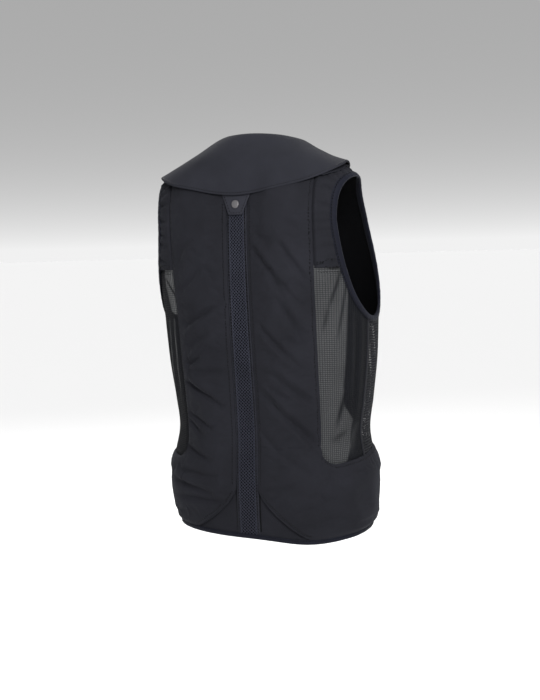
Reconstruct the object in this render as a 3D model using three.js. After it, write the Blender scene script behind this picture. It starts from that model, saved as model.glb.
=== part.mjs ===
// Airbag vest in its worn shape: padded back panels that run into a hip band, a mesh strip down the spine,
// mesh sides and front, shoulder panels, bound armholes and hem, and a cape collar with a snap tab.
// Millimetres, +Z up. The wearer faces -Y and their left side is +X. The origin is the shoulder seat,
// level with the middle of the shoulder seams, half way between front and back.

import * as THREE from "three";

const DEGREE = Math.PI / 180;
const SEAM_GAP = 0.6;

// Rings round the body from hem to neck, each known by its height at the centre back.
// sideY shifts the side points forwards or back, and squareness is the exponent of the ring's curve.
const RING_COLUMNS = ["zBack", "zSide", "zFront", "halfWidth", "back", "front", "sideY", "squareness"];
const RINGS = [
  [-606, -602, -584, 165, 108, 112, 0, 2.3],
  [-560, -558, -550, 171, 110, 116, 0, 2.3],
  [-506, -504, -500, 173, 111, 116, 0, 2.3],
  [-438, -438, -438, 164, 108, 116, 0, 2.3],
  [-384, -384, -386, 171, 111, 120, 0, 2.3],
  [-316, -316, -320, 178, 117, 122, 0, 2.4],
  [-249, -249, -256, 181, 122, 122, 2, 2.5],
  [-165, -165, -176, 184, 125, 118, 8, 2.7],
  [-100, -88, -116, 181, 124, 109, 18, 2.6],
  [-52, -27, -70, 168, 118, 95, 32, 2.1],
  [-8, -3, -40, 119, 102, 80, 28, 2],
  [24, 15, -20, 70, 80, 62, 18, 2],
].map((row) => Object.fromEntries(RING_COLUMNS.map((name, place) => [name, row[place]])));
const RING_RISE_POWER = 1.6;
const MEAN_RADIUS = 150;
const SEAM_TURN = 0.9 / MEAN_RADIUS;

// Heights at the centre back.
const HEM = -606;
const HEM_TAPE = 8;
const PANEL_FOOT = HEM + HEM_TAPE + SEAM_GAP;
const NECK = 24;
const PANEL_TOP = NECK - SEAM_GAP;

// Mesh strip down the spine and its border tapes.
const STRIP_HALF_TOP = 12.5;
const STRIP_HALF_FOOT = 14.5;
const STRIP_WIDEN_TOP = -80;
const STRIP_WIDEN_FOOT = -520;
const BORDER_WIDTH = 4;
const STRIP_THICK = 3;
const BORDER_THICK = 2.2;

// Seam between the back panel and the shoulder panel and side mesh, as a distance from the centre plane.
const SEAM_X_TOP = 124;
const SEAM_X_WAIST = 118;
const SHOULDER_SEAM = -168;

// Padded back panel and hip band.
const PAD_EDGE = 2.2;
const PAD_FULL = 7.5;
const PAD_FADE = 14;
const TULIP_TOP = -523;
const TULIP_SPREAD = 90;
const TULIP_POWER = 1.5;
const HIP_TOP_BACK = -488;
const HIP_RISE = 45;
const HIP_CORNER_WIDE = 29;
const HIP_CORNER_HIGH = 33;
const HIP_CORNER = HIP_TOP_BACK + HIP_CORNER_HIGH;

// Soft folds across the padding, each from one place to another by distance from the centre plane and height.
const FOLD_HALF = 16;
const FOLD_RISE = 2.4;
const FOLDS = [
  { side: -1, fromX: 25, fromHeight: -142, toX: 117, toHeight: -193 },
  { side: -1, fromX: 22, fromHeight: -231, toX: 119, toHeight: -306 },
  { side: -1, fromX: 20, fromHeight: -353, toX: 118, toHeight: -457 },
  { side: 1, fromX: 22, fromHeight: -278, toX: 105, toHeight: -335 },
  { side: 1, fromX: 100, fromHeight: -385, toX: 42, toHeight: -410 },
  { side: 1, fromX: 118, fromHeight: -500, toX: 50, toHeight: -530 },
];

// Lower layer that shows under the back panel's curved lower edge.
const HEM_PANEL_OUTER = -0.9;
const HEM_PANEL_THICK = 1.8;
const HEM_PANEL_UNDERLAP = 10;
const HEM_PANEL_REACH = 112;

// Armhole in ring angle and height.
const ARM_FOOT = -249;
const ARM_TOP = -52;
const ARM_WIDEST = -105;
const ARM_REACH_BACK = 27 * DEGREE;
const ARM_REACH_FRONT = 26 * DEGREE;
const ARM_SQUARENESS = 1.95;
const ARM_TAPE = 10;
const ARM_PANEL_INSET = ARM_TAPE + 1;

// Thin walls.
const SHOULDER_THICK = 3;
const SHOULDER_TOP = -14;
const SIDE_MESH_THICK = 1.2;
const FRONT_MESH_THICK = 1.6;
const FRONT_SEAM = 91 * DEGREE;
const SIDE = 90 * DEGREE;

// Centre front zip.
const ZIP_HALF = 9;
const ZIP_EDGE_THICK = 1.4;
const ZIP_MIDDLE_THICK = 2.6;
const ZIP_INSIDE = -0.8;

// Tapes are rounded across: outer and inner offsets at the free edge, the middle and the panel edge.
const TAPE_OUTER = [1.2, 3.4, 3.0];
const TAPE_INNER = [-0.2, -1.2, -0.9];

// Collar: a stand inside the neck edge, a fold above it and a fall that clears the panels.
const COLLAR_THICK = 3.6;
const COLLAR_END = 168 * DEGREE;
const COLLAR_STAND_FOOT = 12;
const COLLAR_STAND_INSET = -4;
const COLLAR_FOLD_IN = 5;
const COLLAR_FOLD_RISE_BACK = 25;
const COLLAR_FOLD_RISE_FRONT = 14;
// Ring height of the free edge by angle: widest over the shoulders, narrow on the chest.
const COLLAR_EDGE = [
  { angle: 0, height: -54 },
  { angle: 45, height: -51 },
  { angle: 76, height: -45 },
  { angle: 105, height: -33 },
  { angle: 168, height: -24 },
];
// Where the fall passes, as a share of the way from neck to edge, and its clearance over the body.
const COLLAR_FALL = [{ share: 0.28, clear: 15 }, { share: 0.63, clear: 12 }, { share: 1, clear: 11 }];

// Tab and snap at the centre back.
const TAB_TOP = -28;
const TAB_FOOT = -83;
const TAB_SHOULDER = -50;
const TAB_HALF_TOP = 25.5;
const TAB_HALF_FOOT = 12;
const TAB_INNER = 4.9;
const TAB_THICK = 1.8;
const SNAP_HEIGHT = -67;
const SNAP_SEAT = 0.3;
const SNAP_SIDES = 18;
const SNAP_PROFILE = [[0, 0], [6.4, 0], [6.8, 0.5], [6.4, 1.7], [4.6, 2.5], [2.4, 2.9], [0, 3]];

// How many faces each wall has across and along.
const GRIDS = {
  spineStrip: { columns: 2, rows: 22 },
  spineBorder: { columns: 1, rows: 22 },
  hemPanel: { columns: 8, rows: 4 },
  frontZip: { columns: 2, rows: 20 },
  tape: { columns: 48, rows: 2 },
  collar: { columns: 34, rows: 9 },
  collarTab: { columns: 4, rows: 7 },
};
const BACK_COLUMNS = 7;
const BACK_UPPER_ROWS = 15;
const BACK_CROWDING = 1.5;
const BAND_ROWS = 5;
const SHOULDER_COLUMNS = 5;
const SHOULDER_LOWER_ROWS = 9;
const SHOULDER_UPPER_ROWS = 3;
const SIDE_ROWS = 7;
const FRONT_COLUMNS = 6;
const FRONT_LOWER_ROWS = 6;
const FRONT_ARM_ROWS = 12;
const FRONT_SHOULDER_ROWS = 4;

// Small steps that slopes are measured over, and the halvings that find a ring angle.
const TURN_STEP = 0.004;
const HEIGHT_STEP = 0.8;
const COLLAR_STEP = 0.01;
const HALVINGS = 30;

const mix = THREE.MathUtils.lerp;
const clamp = THREE.MathUtils.clamp;
const unmix = (low, high, value) => clamp((value - low) / (high - low), 0, 1);

// A ring column at any height, by a cubic that never overshoots its rows.
function slopeBetween(name, row) {
  const rise = RINGS[row + 1][name] - RINGS[row][name];
  return rise / (RINGS[row + 1].zBack - RINGS[row].zBack);
}

function slopeAt(name, row) {
  if (row === 0) return slopeBetween(name, 0);
  if (row === RINGS.length - 1) return slopeBetween(name, row - 1);
  const before = slopeBetween(name, row - 1);
  const after = slopeBetween(name, row);
  return before * after <= 0 ? 0 : (2 * before * after) / (before + after);
}

function column(name, height) {
  let row = 0;
  while (row < RINGS.length - 2 && height > RINGS[row + 1].zBack) row += 1;
  const span = RINGS[row + 1].zBack - RINGS[row].zBack;
  const t = (height - RINGS[row].zBack) / span;
  const rise = t * t * (3 - 2 * t);
  const ease = t * (1 - t) * (1 - t) * slopeAt(name, row);
  const brake = t * t * (t - 1) * slopeAt(name, row + 1);
  return mix(RINGS[row][name], RINGS[row + 1][name], rise) + span * (ease + brake);
}

// The body's surface: angle runs from the centre back towards the wearer's left.
function torso(angle, height) {
  const across = Math.sin(angle);
  const along = Math.cos(angle);
  const power = column("squareness", height);
  const depth = column(along > 0 ? "back" : "front", height);
  const wide = Math.abs(across / column("halfWidth", height)) ** power;
  const radius = (wide + Math.abs(along / depth) ** power) ** (-1 / power);
  const zSide = column("zSide", height);
  const zEnd = along > 0 ? height : column("zFront", height);
  return new THREE.Vector3(
    radius * across,
    radius * along + column("sideY", height) * across * across,
    mix(zSide, zEnd, Math.abs(along) ** RING_RISE_POWER),
  );
}

function normalOf(surface, u, v, stepU, stepV) {
  const alongU = surface(u + stepU, v).sub(surface(u - stepU, v));
  const alongV = surface(u, v + stepV).sub(surface(u, v - stepV));
  return alongV.cross(alongU).normalize();
}

function torsoNormal(angle, height) {
  return normalOf(torso, angle, height, TURN_STEP, HEIGHT_STEP);
}

// Ring angle at a distance from the centre plane, on the back or on the front.
function angleAtX(x, height, front = false) {
  let near = front ? Math.PI : 0;
  let far = SIDE;
  if (torso(far, height).x <= x) return far;
  for (let step = 0; step < HALVINGS; step += 1) {
    const middle = (near + far) / 2;
    if (torso(middle, height).x < x) near = middle;
    else far = middle;
  }
  return (near + far) / 2;
}

// A place on the body with the wall's outer and inner offsets there.
function spot(angle, height, outer, inner) {
  const base = torso(angle, height);
  const normal = torsoNormal(angle, height);
  return {
    base,
    outer: base.clone().addScaledVector(normal, outer),
    inner: base.clone().addScaledVector(normal, inner),
  };
}

// A closed wall from grid patches: the outer skin, the inner skin and a rim along every free edge.
// Patches that share an edge are welded there. side is -1 for the mirrored copy.
function wall(patches, side = 1) {
  const places = [];
  const known = new Map();
  const weld = (place) => {
    const key = place.base.toArray().map((value) => value.toFixed(2)).join(" ");
    if (!known.has(key)) known.set(key, places.push(place) - 1);
    return known.get(key);
  };
  const faces = [];
  for (const { columns, rows, at } of patches) {
    const grid = [];
    for (let i = 0; i <= columns; i += 1) {
      grid.push(Array.from({ length: rows + 1 }, (_, j) => weld(at(i / columns, j / rows, i, j))));
    }
    for (let i = 0; i < columns; i += 1) {
      for (let j = 0; j < rows; j += 1) {
        const corners = [grid[i][j], grid[i][j + 1], grid[i + 1][j + 1], grid[i + 1][j]];
        faces.push([corners[0], corners[1], corners[2]], [corners[0], corners[2], corners[3]]);
      }
    }
  }
  const solid = faces.filter(([a, b, c]) => a !== b && b !== c && c !== a);
  const edges = new Set(solid.flatMap(([a, b, c]) => [`${a} ${b}`, `${b} ${c}`, `${c} ${a}`]));
  const count = places.length;
  const triangles = solid.flatMap(([a, b, c]) => [[a, b, c], [c + count, b + count, a + count]]);
  for (const edge of edges) {
    const [a, b] = edge.split(" ").map(Number);
    if (edges.has(`${b} ${a}`)) continue;
    triangles.push([b, a, a + count], [b, a + count, b + count]);
  }
  const turned = side > 0 ? triangles : triangles.map(([a, b, c]) => [c, b, a]);
  const corners = [...places.map((place) => place.outer), ...places.map((place) => place.inner)];
  const positions = corners.flatMap((point) => [point.x * side, point.y, point.z]);
  const geometry = new THREE.BufferGeometry();
  geometry.setAttribute("position", new THREE.Float32BufferAttribute(positions, 3));
  geometry.setIndex(turned.flat());
  geometry.computeVertexNormals();
  return geometry;
}

// Edges that panels share.
function stripHalf(height) {
  return mix(STRIP_HALF_FOOT, STRIP_HALF_TOP, unmix(STRIP_WIDEN_FOOT, STRIP_WIDEN_TOP, height));
}

function panelInnerX(height) {
  return stripHalf(height) + BORDER_WIDTH + 2 * SEAM_GAP;
}

function seamX(height) {
  return mix(SEAM_X_WAIST, SEAM_X_TOP, unmix(HIP_CORNER, SHOULDER_SEAM, height));
}

function seamAngle(height) {
  return angleAtX(seamX(height), height);
}

function zipAngle(height, x = ZIP_HALF + SEAM_GAP) {
  return angleAtX(x, height, true);
}

function tulipEdge(x) {
  const inner = panelInnerX(TULIP_TOP);
  const reach = unmix(inner, inner + TULIP_SPREAD, x) ** (1 / TULIP_POWER);
  return mix(TULIP_TOP, PANEL_FOOT, reach);
}

function hipTop(angle) {
  const fromSeam = angle - seamAngle(HIP_CORNER);
  const level = HIP_TOP_BACK + HIP_RISE * (fromSeam / (Math.PI - seamAngle(HIP_CORNER)));
  const inCorner = 1 - unmix(0, HIP_CORNER_WIDE, fromSeam * MEAN_RADIUS);
  return level + HIP_CORNER_HIGH * (1 - Math.sqrt(1 - inCorner * inCorner));
}

// Armhole edge, inset into the cloth: a curve that is widest above its middle.
function armholeReach(height, inset) {
  const end = height > ARM_WIDEST ? ARM_TOP + inset : ARM_FOOT - inset;
  const fall = unmix(ARM_WIDEST, end, height);
  const share = (1 - fall ** ARM_SQUARENESS) ** (1 / ARM_SQUARENESS);
  return share * (ARM_REACH_BACK + inset / MEAN_RADIUS);
}

function armholeBack(height, inset) {
  return SIDE - armholeReach(height, inset);
}

function armholePlace(turn, inset) {
  const round = (value) => Math.sign(value) * Math.abs(value) ** (2 / ARM_SQUARENESS);
  const rise = round(Math.sin(turn));
  const lean = round(Math.cos(turn));
  const end = rise > 0 ? ARM_TOP + inset : ARM_FOOT - inset;
  const reach = (lean > 0 ? ARM_REACH_BACK : ARM_REACH_FRONT) + inset / MEAN_RADIUS;
  return { angle: SIDE - lean * reach, height: mix(ARM_WIDEST, end, Math.abs(rise)) };
}

// Thickness of the padding, thinner towards each edge it is sewn to.
function padOuter(distances) {
  const full = distances.reduce((share, far) => share * (1 - Math.exp(-Math.max(far, 0) / PAD_FADE)), 1);
  return PAD_EDGE + (PAD_FULL - PAD_EDGE) * full;
}

// Height of the soft folds at a place on the back: each is a rounded ridge along its line.
function foldRise(side, x, height) {
  const here = new THREE.Vector2(x, height);
  const ridges = FOLDS.filter((fold) => fold.side === side).map((fold) => {
    const from = new THREE.Vector2(fold.fromX, fold.fromHeight);
    const along = new THREE.Vector2(fold.toX, fold.toHeight).sub(from);
    const share = clamp(here.clone().sub(from).dot(along) / along.lengthSq(), 0, 1);
    const away = here.distanceTo(from.addScaledVector(along, share));
    return Math.exp(-((away / FOLD_HALF) ** 2));
  });
  return FOLD_RISE * Math.max(0, ...ridges);
}

// Lines that the hip band and the side mesh share, each a share of the way from back seam to front seam, with
// the height where the mesh ends on it. The first lines round the hip band's corner and end at the shoulder
// seam, and the rest end on the armhole.
const CORNER_LINES = 4;
const ARM_LINES = 10;
const SIDE_LINES = sideLines();
const FRONT_LINES = 8;

// Where the front seam meets the armhole, as a turn round the armhole.
function frontSeamTurn() {
  const share = (FRONT_SEAM - SIDE) / (ARM_REACH_FRONT + ARM_PANEL_INSET / MEAN_RADIUS);
  return -Math.PI + Math.acos(share ** (ARM_SQUARENESS / 2));
}

function sideLines() {
  const cap = SHOULDER_SEAM - SEAM_GAP;
  const capShare = unmix(ARM_WIDEST, ARM_FOOT - ARM_PANEL_INSET, cap);
  const first = -Math.asin(capShare ** (ARM_SQUARENESS / 2));
  const onArmhole = (step) => {
    const place = armholePlace(mix(first, frontSeamTurn(), step / ARM_LINES), ARM_PANEL_INSET);
    const seam = seamAngle(place.height);
    return { share: (place.angle - seam) / (FRONT_SEAM - seam), top: place.height };
  };
  const kink = onArmhole(0).share;
  const corner = Array.from({ length: CORNER_LINES + 1 }, (_, step) => (
    { share: kink * (1 - Math.cos((step / CORNER_LINES) * SIDE)), top: cap }
  ));
  return [...corner, ...Array.from({ length: ARM_LINES }, (_, step) => onArmhole(step + 1))];
}

function spineStrip() {
  const at = (s, t) => {
    const height = mix(PANEL_FOOT, PANEL_TOP, t);
    const half = angleAtX(stripHalf(height), height);
    return spot(mix(-half, half, s), height, STRIP_THICK, 0);
  };
  return wall([{ ...GRIDS.spineStrip, at }]);
}

function spineBorder(side) {
  const at = (s, t) => {
    const height = mix(PANEL_FOOT, PANEL_TOP, t);
    const inner = stripHalf(height) + SEAM_GAP;
    return spot(angleAtX(inner + s * BORDER_WIDTH, height), height, BORDER_THICK, 0);
  };
  return wall([{ ...GRIDS.spineBorder, at }], side);
}

function backPanel(side) {
  const lastSide = SIDE_LINES.length - 1;
  const upright = (s, t, i, j) => {
    const foot = tulipEdge(mix(panelInnerX(TULIP_TOP), SEAM_X_WAIST, s));
    const fromTop = Math.max(0, 1 - (j - BAND_ROWS) / BACK_UPPER_ROWS) ** BACK_CROWDING;
    const height = j <= BAND_ROWS
      ? mix(foot, HIP_CORNER, j / BAND_ROWS)
      : mix(PANEL_TOP, HIP_CORNER, fromTop);
    const inner = angleAtX(panelInnerX(height), height);
    const outer = seamAngle(height) - (height > SHOULDER_SEAM ? SEAM_TURN / 2 : 0);
    const angle = mix(inner, outer, s);
    const toSeam = Math.hypot((outer - angle) * MEAN_RADIUS, Math.max(0, HIP_CORNER - height));
    const pad = padOuter([(angle - inner) * MEAN_RADIUS, toSeam, height - foot, PANEL_TOP - height]);
    const fold = foldRise(side, torso(angle, height).x, height) * Math.sin(s * Math.PI);
    return spot(angle, height, pad + fold, 0);
  };
  const band = (s, t, i) => {
    const { share } = SIDE_LINES[Math.min(i, lastSide)];
    const onward = Math.max(0, i - lastSide) / FRONT_LINES;
    const top = hipTop(mix(mix(seamAngle(HIP_CORNER), FRONT_SEAM, share), Math.PI, onward));
    const height = mix(PANEL_FOOT, top, t);
    const zip = zipAngle(height);
    const angle = mix(mix(seamAngle(height), FRONT_SEAM, share), zip, onward);
    const pad = padOuter([height - PANEL_FOOT, top - height, (zip - angle) * MEAN_RADIUS]);
    return spot(angle, height, pad, 0);
  };
  return wall([
    { columns: BACK_COLUMNS, rows: BAND_ROWS + BACK_UPPER_ROWS, at: upright },
    { columns: lastSide + FRONT_LINES, rows: BAND_ROWS, at: band },
  ], side);
}

function hemPanel(side) {
  const at = (s, t) => {
    const x = mix(panelInnerX(PANEL_FOOT), HEM_PANEL_REACH, s);
    const height = mix(PANEL_FOOT, tulipEdge(x) + HEM_PANEL_UNDERLAP, t);
    return spot(angleAtX(x, height), height, HEM_PANEL_OUTER, HEM_PANEL_OUTER - HEM_PANEL_THICK);
  };
  return wall([{ ...GRIDS.hemPanel, at }], side);
}

function shoulderPanel(side) {
  const foot = SHOULDER_SEAM + SEAM_GAP;
  const bend = ARM_TOP + ARM_PANEL_INSET;
  const at = (s, t, i, j) => {
    const height = j <= SHOULDER_LOWER_ROWS
      ? mix(foot, bend, Math.sin((j / SHOULDER_LOWER_ROWS) * SIDE))
      : mix(bend, SHOULDER_TOP, (j - SHOULDER_LOWER_ROWS) / SHOULDER_UPPER_ROWS);
    const inner = seamAngle(height) + SEAM_TURN;
    const shoulder = SIDE - SEAM_TURN / 2;
    const outer = Math.min(armholeBack(height, ARM_PANEL_INSET), shoulder);
    return spot(mix(inner, outer, s), height, SHOULDER_THICK, 0);
  };
  const rows = SHOULDER_LOWER_ROWS + SHOULDER_UPPER_ROWS;
  return wall([{ columns: SHOULDER_COLUMNS, rows, at }], side);
}

function sideMesh(side) {
  const at = (s, t, i) => {
    const { share, top } = SIDE_LINES[i];
    const foot = hipTop(mix(seamAngle(HIP_CORNER), FRONT_SEAM, share)) + SEAM_GAP;
    const height = mix(foot, top, t);
    const angle = mix(seamAngle(height) + SEAM_TURN, FRONT_SEAM - SEAM_TURN / 2, share);
    return spot(angle, height, SIDE_MESH_THICK, 0);
  };
  return wall([{ columns: SIDE_LINES.length - 1, rows: SIDE_ROWS, at }], side);
}

function frontPanel(side) {
  const shoulderFrom = FRONT_LOWER_ROWS + FRONT_ARM_ROWS;
  const armMeets = SIDE_LINES[SIDE_LINES.length - 1].top;
  const shoulderTurn = -1.5 * Math.PI;
  // The panel's outer edge runs up the side seam, round the front of the armhole and over the shoulder.
  const edgeAt = (s, j) => {
    if (j <= FRONT_LOWER_ROWS) {
      const foot = hipTop(mix(FRONT_SEAM, Math.PI, s)) + SEAM_GAP;
      return { angle: FRONT_SEAM, height: mix(foot, armMeets, j / FRONT_LOWER_ROWS) };
    }
    if (j <= shoulderFrom) {
      const turn = mix(frontSeamTurn(), shoulderTurn, (j - FRONT_LOWER_ROWS) / FRONT_ARM_ROWS);
      return armholePlace(turn, ARM_PANEL_INSET);
    }
    const bend = ARM_TOP + ARM_PANEL_INSET;
    return { angle: SIDE, height: mix(bend, PANEL_TOP, (j - shoulderFrom) / FRONT_SHOULDER_ROWS) };
  };
  const at = (s, t, i, j) => {
    const { angle, height } = edgeAt(s, j);
    return spot(mix(angle + SEAM_TURN / 2, zipAngle(height), s), height, FRONT_MESH_THICK, 0);
  };
  return wall([{ columns: FRONT_COLUMNS, rows: shoulderFrom + FRONT_SHOULDER_ROWS, at }], side);
}

function frontZip() {
  const at = (s, t, i) => {
    const height = mix(HEM, PANEL_TOP, t);
    const edge = zipAngle(height, ZIP_HALF);
    const middle = i === 1;
    const angle = middle ? Math.PI : mix(edge, 2 * Math.PI - edge, s);
    return spot(angle, height, middle ? ZIP_MIDDLE_THICK : ZIP_EDGE_THICK, ZIP_INSIDE);
  };
  return wall([{ ...GRIDS.frontZip, at }]);
}

function armholeBinding(side) {
  const at = (s, t, i, j) => {
    const place = armholePlace(s * 2 * Math.PI, t * ARM_TAPE);
    return spot(place.angle, place.height, TAPE_OUTER[j], TAPE_INNER[j]);
  };
  return wall([{ ...GRIDS.tape, at }], side);
}

function hemBinding() {
  const at = (s, t, i, j) => {
    const height = mix(HEM, HEM + HEM_TAPE, t);
    const end = zipAngle(height);
    return spot(mix(-end, end, s), height, TAPE_OUTER[j], TAPE_INNER[j]);
  };
  return wall([{ ...GRIDS.tape, at }]);
}

// The collar's section at one angle runs from the foot of the stand over the fold to the free edge.
function collarEdge(angle) {
  const turn = Math.abs(angle) / DEGREE;
  const next = COLLAR_EDGE.findIndex((row) => row.angle > turn);
  if (next < 0) return COLLAR_EDGE[COLLAR_EDGE.length - 1].height;
  const [before, after] = [COLLAR_EDGE[next - 1], COLLAR_EDGE[next]];
  const share = unmix(before.angle, after.angle, turn);
  return mix(before.height, after.height, THREE.MathUtils.smoothstep(share, 0, 1));
}

function above(angle, height, clear) {
  return torso(angle, height).addScaledVector(torsoNormal(angle, height), clear);
}

function collarFold(angle) {
  const neck = torso(angle, NECK);
  const out = new THREE.Vector3(neck.x, neck.y, 0).normalize();
  const rise = mix(COLLAR_FOLD_RISE_BACK, COLLAR_FOLD_RISE_FRONT, unmix(SIDE, COLLAR_END, Math.abs(angle)));
  return neck.addScaledVector(out, -COLLAR_FOLD_IN).add(new THREE.Vector3(0, 0, rise));
}

function collarSection(angle) {
  return new THREE.CatmullRomCurve3([
    above(angle, COLLAR_STAND_FOOT, COLLAR_STAND_INSET),
    above(angle, NECK, COLLAR_STAND_INSET),
    collarFold(angle),
    ...COLLAR_FALL.map(({ share, clear }) => above(angle, mix(NECK, collarEdge(angle), share), clear)),
  ], false, "centripetal");
}

function collar() {
  const surface = (angle, share) => collarSection(angle).getPoint(clamp(share, 0, 1));
  const at = (s, t) => {
    const angle = mix(-COLLAR_END, COLLAR_END, s);
    const share = 1 - t;
    const base = surface(angle, share);
    const normal = normalOf(surface, angle, share, COLLAR_STEP, -COLLAR_STEP);
    return {
      base,
      outer: base.clone().addScaledVector(normal, COLLAR_THICK / 2),
      inner: base.clone().addScaledVector(normal, -COLLAR_THICK / 2),
    };
  };
  return wall([{ ...GRIDS.collar, at }]);
}

function collarTab() {
  const at = (s, t) => {
    const height = mix(TAB_FOOT, TAB_TOP, t);
    const half = mix(TAB_HALF_FOOT, TAB_HALF_TOP, unmix(TAB_FOOT, TAB_SHOULDER, height));
    const end = angleAtX(half, height);
    return spot(mix(-end, end, s), height, TAB_INNER + TAB_THICK, TAB_INNER);
  };
  return wall([{ ...GRIDS.collarTab, at }]);
}

function snapButton() {
  const points = SNAP_PROFILE.map(([radius, rise]) => new THREE.Vector2(radius, rise));
  const geometry = new THREE.LatheGeometry(points, SNAP_SIDES);
  const normal = torsoNormal(0, SNAP_HEIGHT);
  geometry.applyQuaternion(new THREE.Quaternion().setFromUnitVectors(new THREE.Vector3(0, 1, 0), normal));
  const seat = above(0, SNAP_HEIGHT, TAB_INNER + TAB_THICK + SNAP_SEAT);
  return geometry.translate(seat.x, seat.y, seat.z);
}

const cloth = (color, roughness) => new THREE.MeshStandardMaterial({ color, roughness, metalness: 0 });
const MATERIALS = {
  softshell: cloth(0x23242b, 0.85),
  collarShell: cloth(0x222329, 0.82),
  spineMesh: cloth(0x1f2640, 0.8),
  borderTape: cloth(0x1e2026, 0.8),
  sideMesh: cloth(0x4a4a4c, 0.7),
  frontMesh: cloth(0x1c1d22, 0.8),
  binding: cloth(0x1a1d2e, 0.75),
  zip: cloth(0x17181c, 0.6),
  snap: new THREE.MeshStandardMaterial({ color: 0x77757a, roughness: 0.4, metalness: 0.6 }),
};

const vest = new THREE.Group();

function addPiece(name, geometry, material) {
  const mesh = new THREE.Mesh(geometry, material);
  mesh.name = name;
  vest.add(mesh);
}

for (const [word, side] of [["left", 1], ["right", -1]]) {
  addPiece(`back_panel_${word}`, backPanel(side), MATERIALS.softshell);
  addPiece(`hem_panel_${word}`, hemPanel(side), MATERIALS.softshell);
  addPiece(`shoulder_panel_${word}`, shoulderPanel(side), MATERIALS.softshell);
  addPiece(`side_mesh_${word}`, sideMesh(side), MATERIALS.sideMesh);
  addPiece(`front_panel_${word}`, frontPanel(side), MATERIALS.frontMesh);
  addPiece(`armhole_binding_${word}`, armholeBinding(side), MATERIALS.binding);
  addPiece(`spine_border_${word}`, spineBorder(side), MATERIALS.borderTape);
}
addPiece("spine_mesh", spineStrip(), MATERIALS.spineMesh);
addPiece("front_zip", frontZip(), MATERIALS.zip);
addPiece("hem_binding", hemBinding(), MATERIALS.binding);
addPiece("collar", collar(), MATERIALS.collarShell);
addPiece("collar_tab", collarTab(), MATERIALS.softshell);
addPiece("snap_button", snapButton(), MATERIALS.snap);

export default vest;
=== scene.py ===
"""Airbag vest in its worn shape, seen from behind and a little from the wearer's right.

The CAD model gives each piece its place and size. Here every piece is made again as cloth: padded panels with
folds and puckers, open nets of knitted strands, folded tapes, rows of stitches, a snap cap and a zip coil.
Sizes are in millimetres on the vest's own surface, and make_piece turns them into metres.
"""

import math

import bpy
import numpy as np
from mathutils import Matrix, Vector, bvhtree, kdtree


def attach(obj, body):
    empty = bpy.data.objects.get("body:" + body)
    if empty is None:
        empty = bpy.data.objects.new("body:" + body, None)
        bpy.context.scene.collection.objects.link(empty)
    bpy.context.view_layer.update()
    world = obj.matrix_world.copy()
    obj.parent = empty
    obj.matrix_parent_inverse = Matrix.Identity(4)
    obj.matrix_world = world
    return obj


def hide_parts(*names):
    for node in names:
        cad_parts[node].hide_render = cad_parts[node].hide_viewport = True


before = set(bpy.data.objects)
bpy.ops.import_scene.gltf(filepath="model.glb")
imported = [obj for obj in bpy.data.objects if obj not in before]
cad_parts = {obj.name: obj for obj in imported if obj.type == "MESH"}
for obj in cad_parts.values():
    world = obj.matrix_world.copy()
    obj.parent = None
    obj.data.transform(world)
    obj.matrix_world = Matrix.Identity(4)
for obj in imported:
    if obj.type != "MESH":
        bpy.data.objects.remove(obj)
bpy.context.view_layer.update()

MM = 0.001
DEGREE = math.pi / 180
SIDE = math.pi / 2

# Rings round the body from hem to neck, each known by its height at the centre back.
RING_COLUMNS = ("z_back", "z_side", "z_front", "half_width", "back", "front", "side_y", "squareness")
RINGS = np.array([
    (-606, -602, -584, 165, 108, 112, 0, 2.3),
    (-560, -558, -550, 171, 110, 116, 0, 2.3),
    (-506, -504, -500, 173, 111, 116, 0, 2.3),
    (-438, -438, -438, 164, 108, 116, 0, 2.3),
    (-384, -384, -386, 171, 111, 120, 0, 2.3),
    (-316, -316, -320, 178, 117, 122, 0, 2.4),
    (-249, -249, -256, 181, 122, 122, 2, 2.5),
    (-165, -165, -176, 184, 125, 118, 8, 2.7),
    (-100, -88, -116, 181, 124, 109, 18, 2.6),
    (-52, -27, -70, 168, 118, 95, 32, 2.1),
    (-8, -3, -40, 119, 102, 80, 28, 2),
    (24, 15, -20, 70, 80, 62, 18, 2),
], float)
RING_RISE_POWER = 1.6
MEAN_RADIUS = 150
TURN_STEP = 0.004
HEIGHT_STEP = 0.8

# Heights at the centre back, and how far a panel's edge runs under the piece it is sewn to.
HEM = -606
HEM_TAPE = 8
HEM_TUCK = HEM + 3
NECK = 24
SEAM_GAP = 0.6
PANEL_TOP = NECK - SEAM_GAP
TUCK = 4
TUCK_TURN = TUCK / MEAN_RADIUS

# Net strip down the spine and its border tapes.
STRIP_HALF_TOP = 12.5
STRIP_HALF_FOOT = 14.5
STRIP_WIDEN = (-520, -80)
BORDER_WIDTH = 4

# Back panel, hip band and the seams round them.
SEAM_X_TOP = 124
SEAM_X_WAIST = 118
SHOULDER_SEAM = -168
SHOULDER_TOP = -14
TULIP_TOP = -523
TULIP_SPREAD = 90
TULIP_POWER = 1.5
HIP_TOP_BACK = -488
HIP_RISE = 45
HIP_CORNER_WIDE = 29
HIP_CORNER_HIGH = 33
HIP_CORNER = HIP_TOP_BACK + HIP_CORNER_HIGH
HEM_PANEL_UNDERLAP = 10
HEM_PANEL_REACH = 112

# Armhole in ring angle and height, and the tape round it.
ARM_FOOT = -249
ARM_TOP = -52
ARM_WIDEST = -105
ARM_REACH_BACK = 27 * DEGREE
ARM_REACH_FRONT = 26 * DEGREE
ARM_SQUARENESS = 1.95
ARM_TAPE = 10
ARM_TUCK = 5
FRONT_SEAM = 91 * DEGREE
NET_LAP = 8 * DEGREE
NET_EDGE = FRONT_SEAM - NET_LAP
ZIP_HALF = 9

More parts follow.
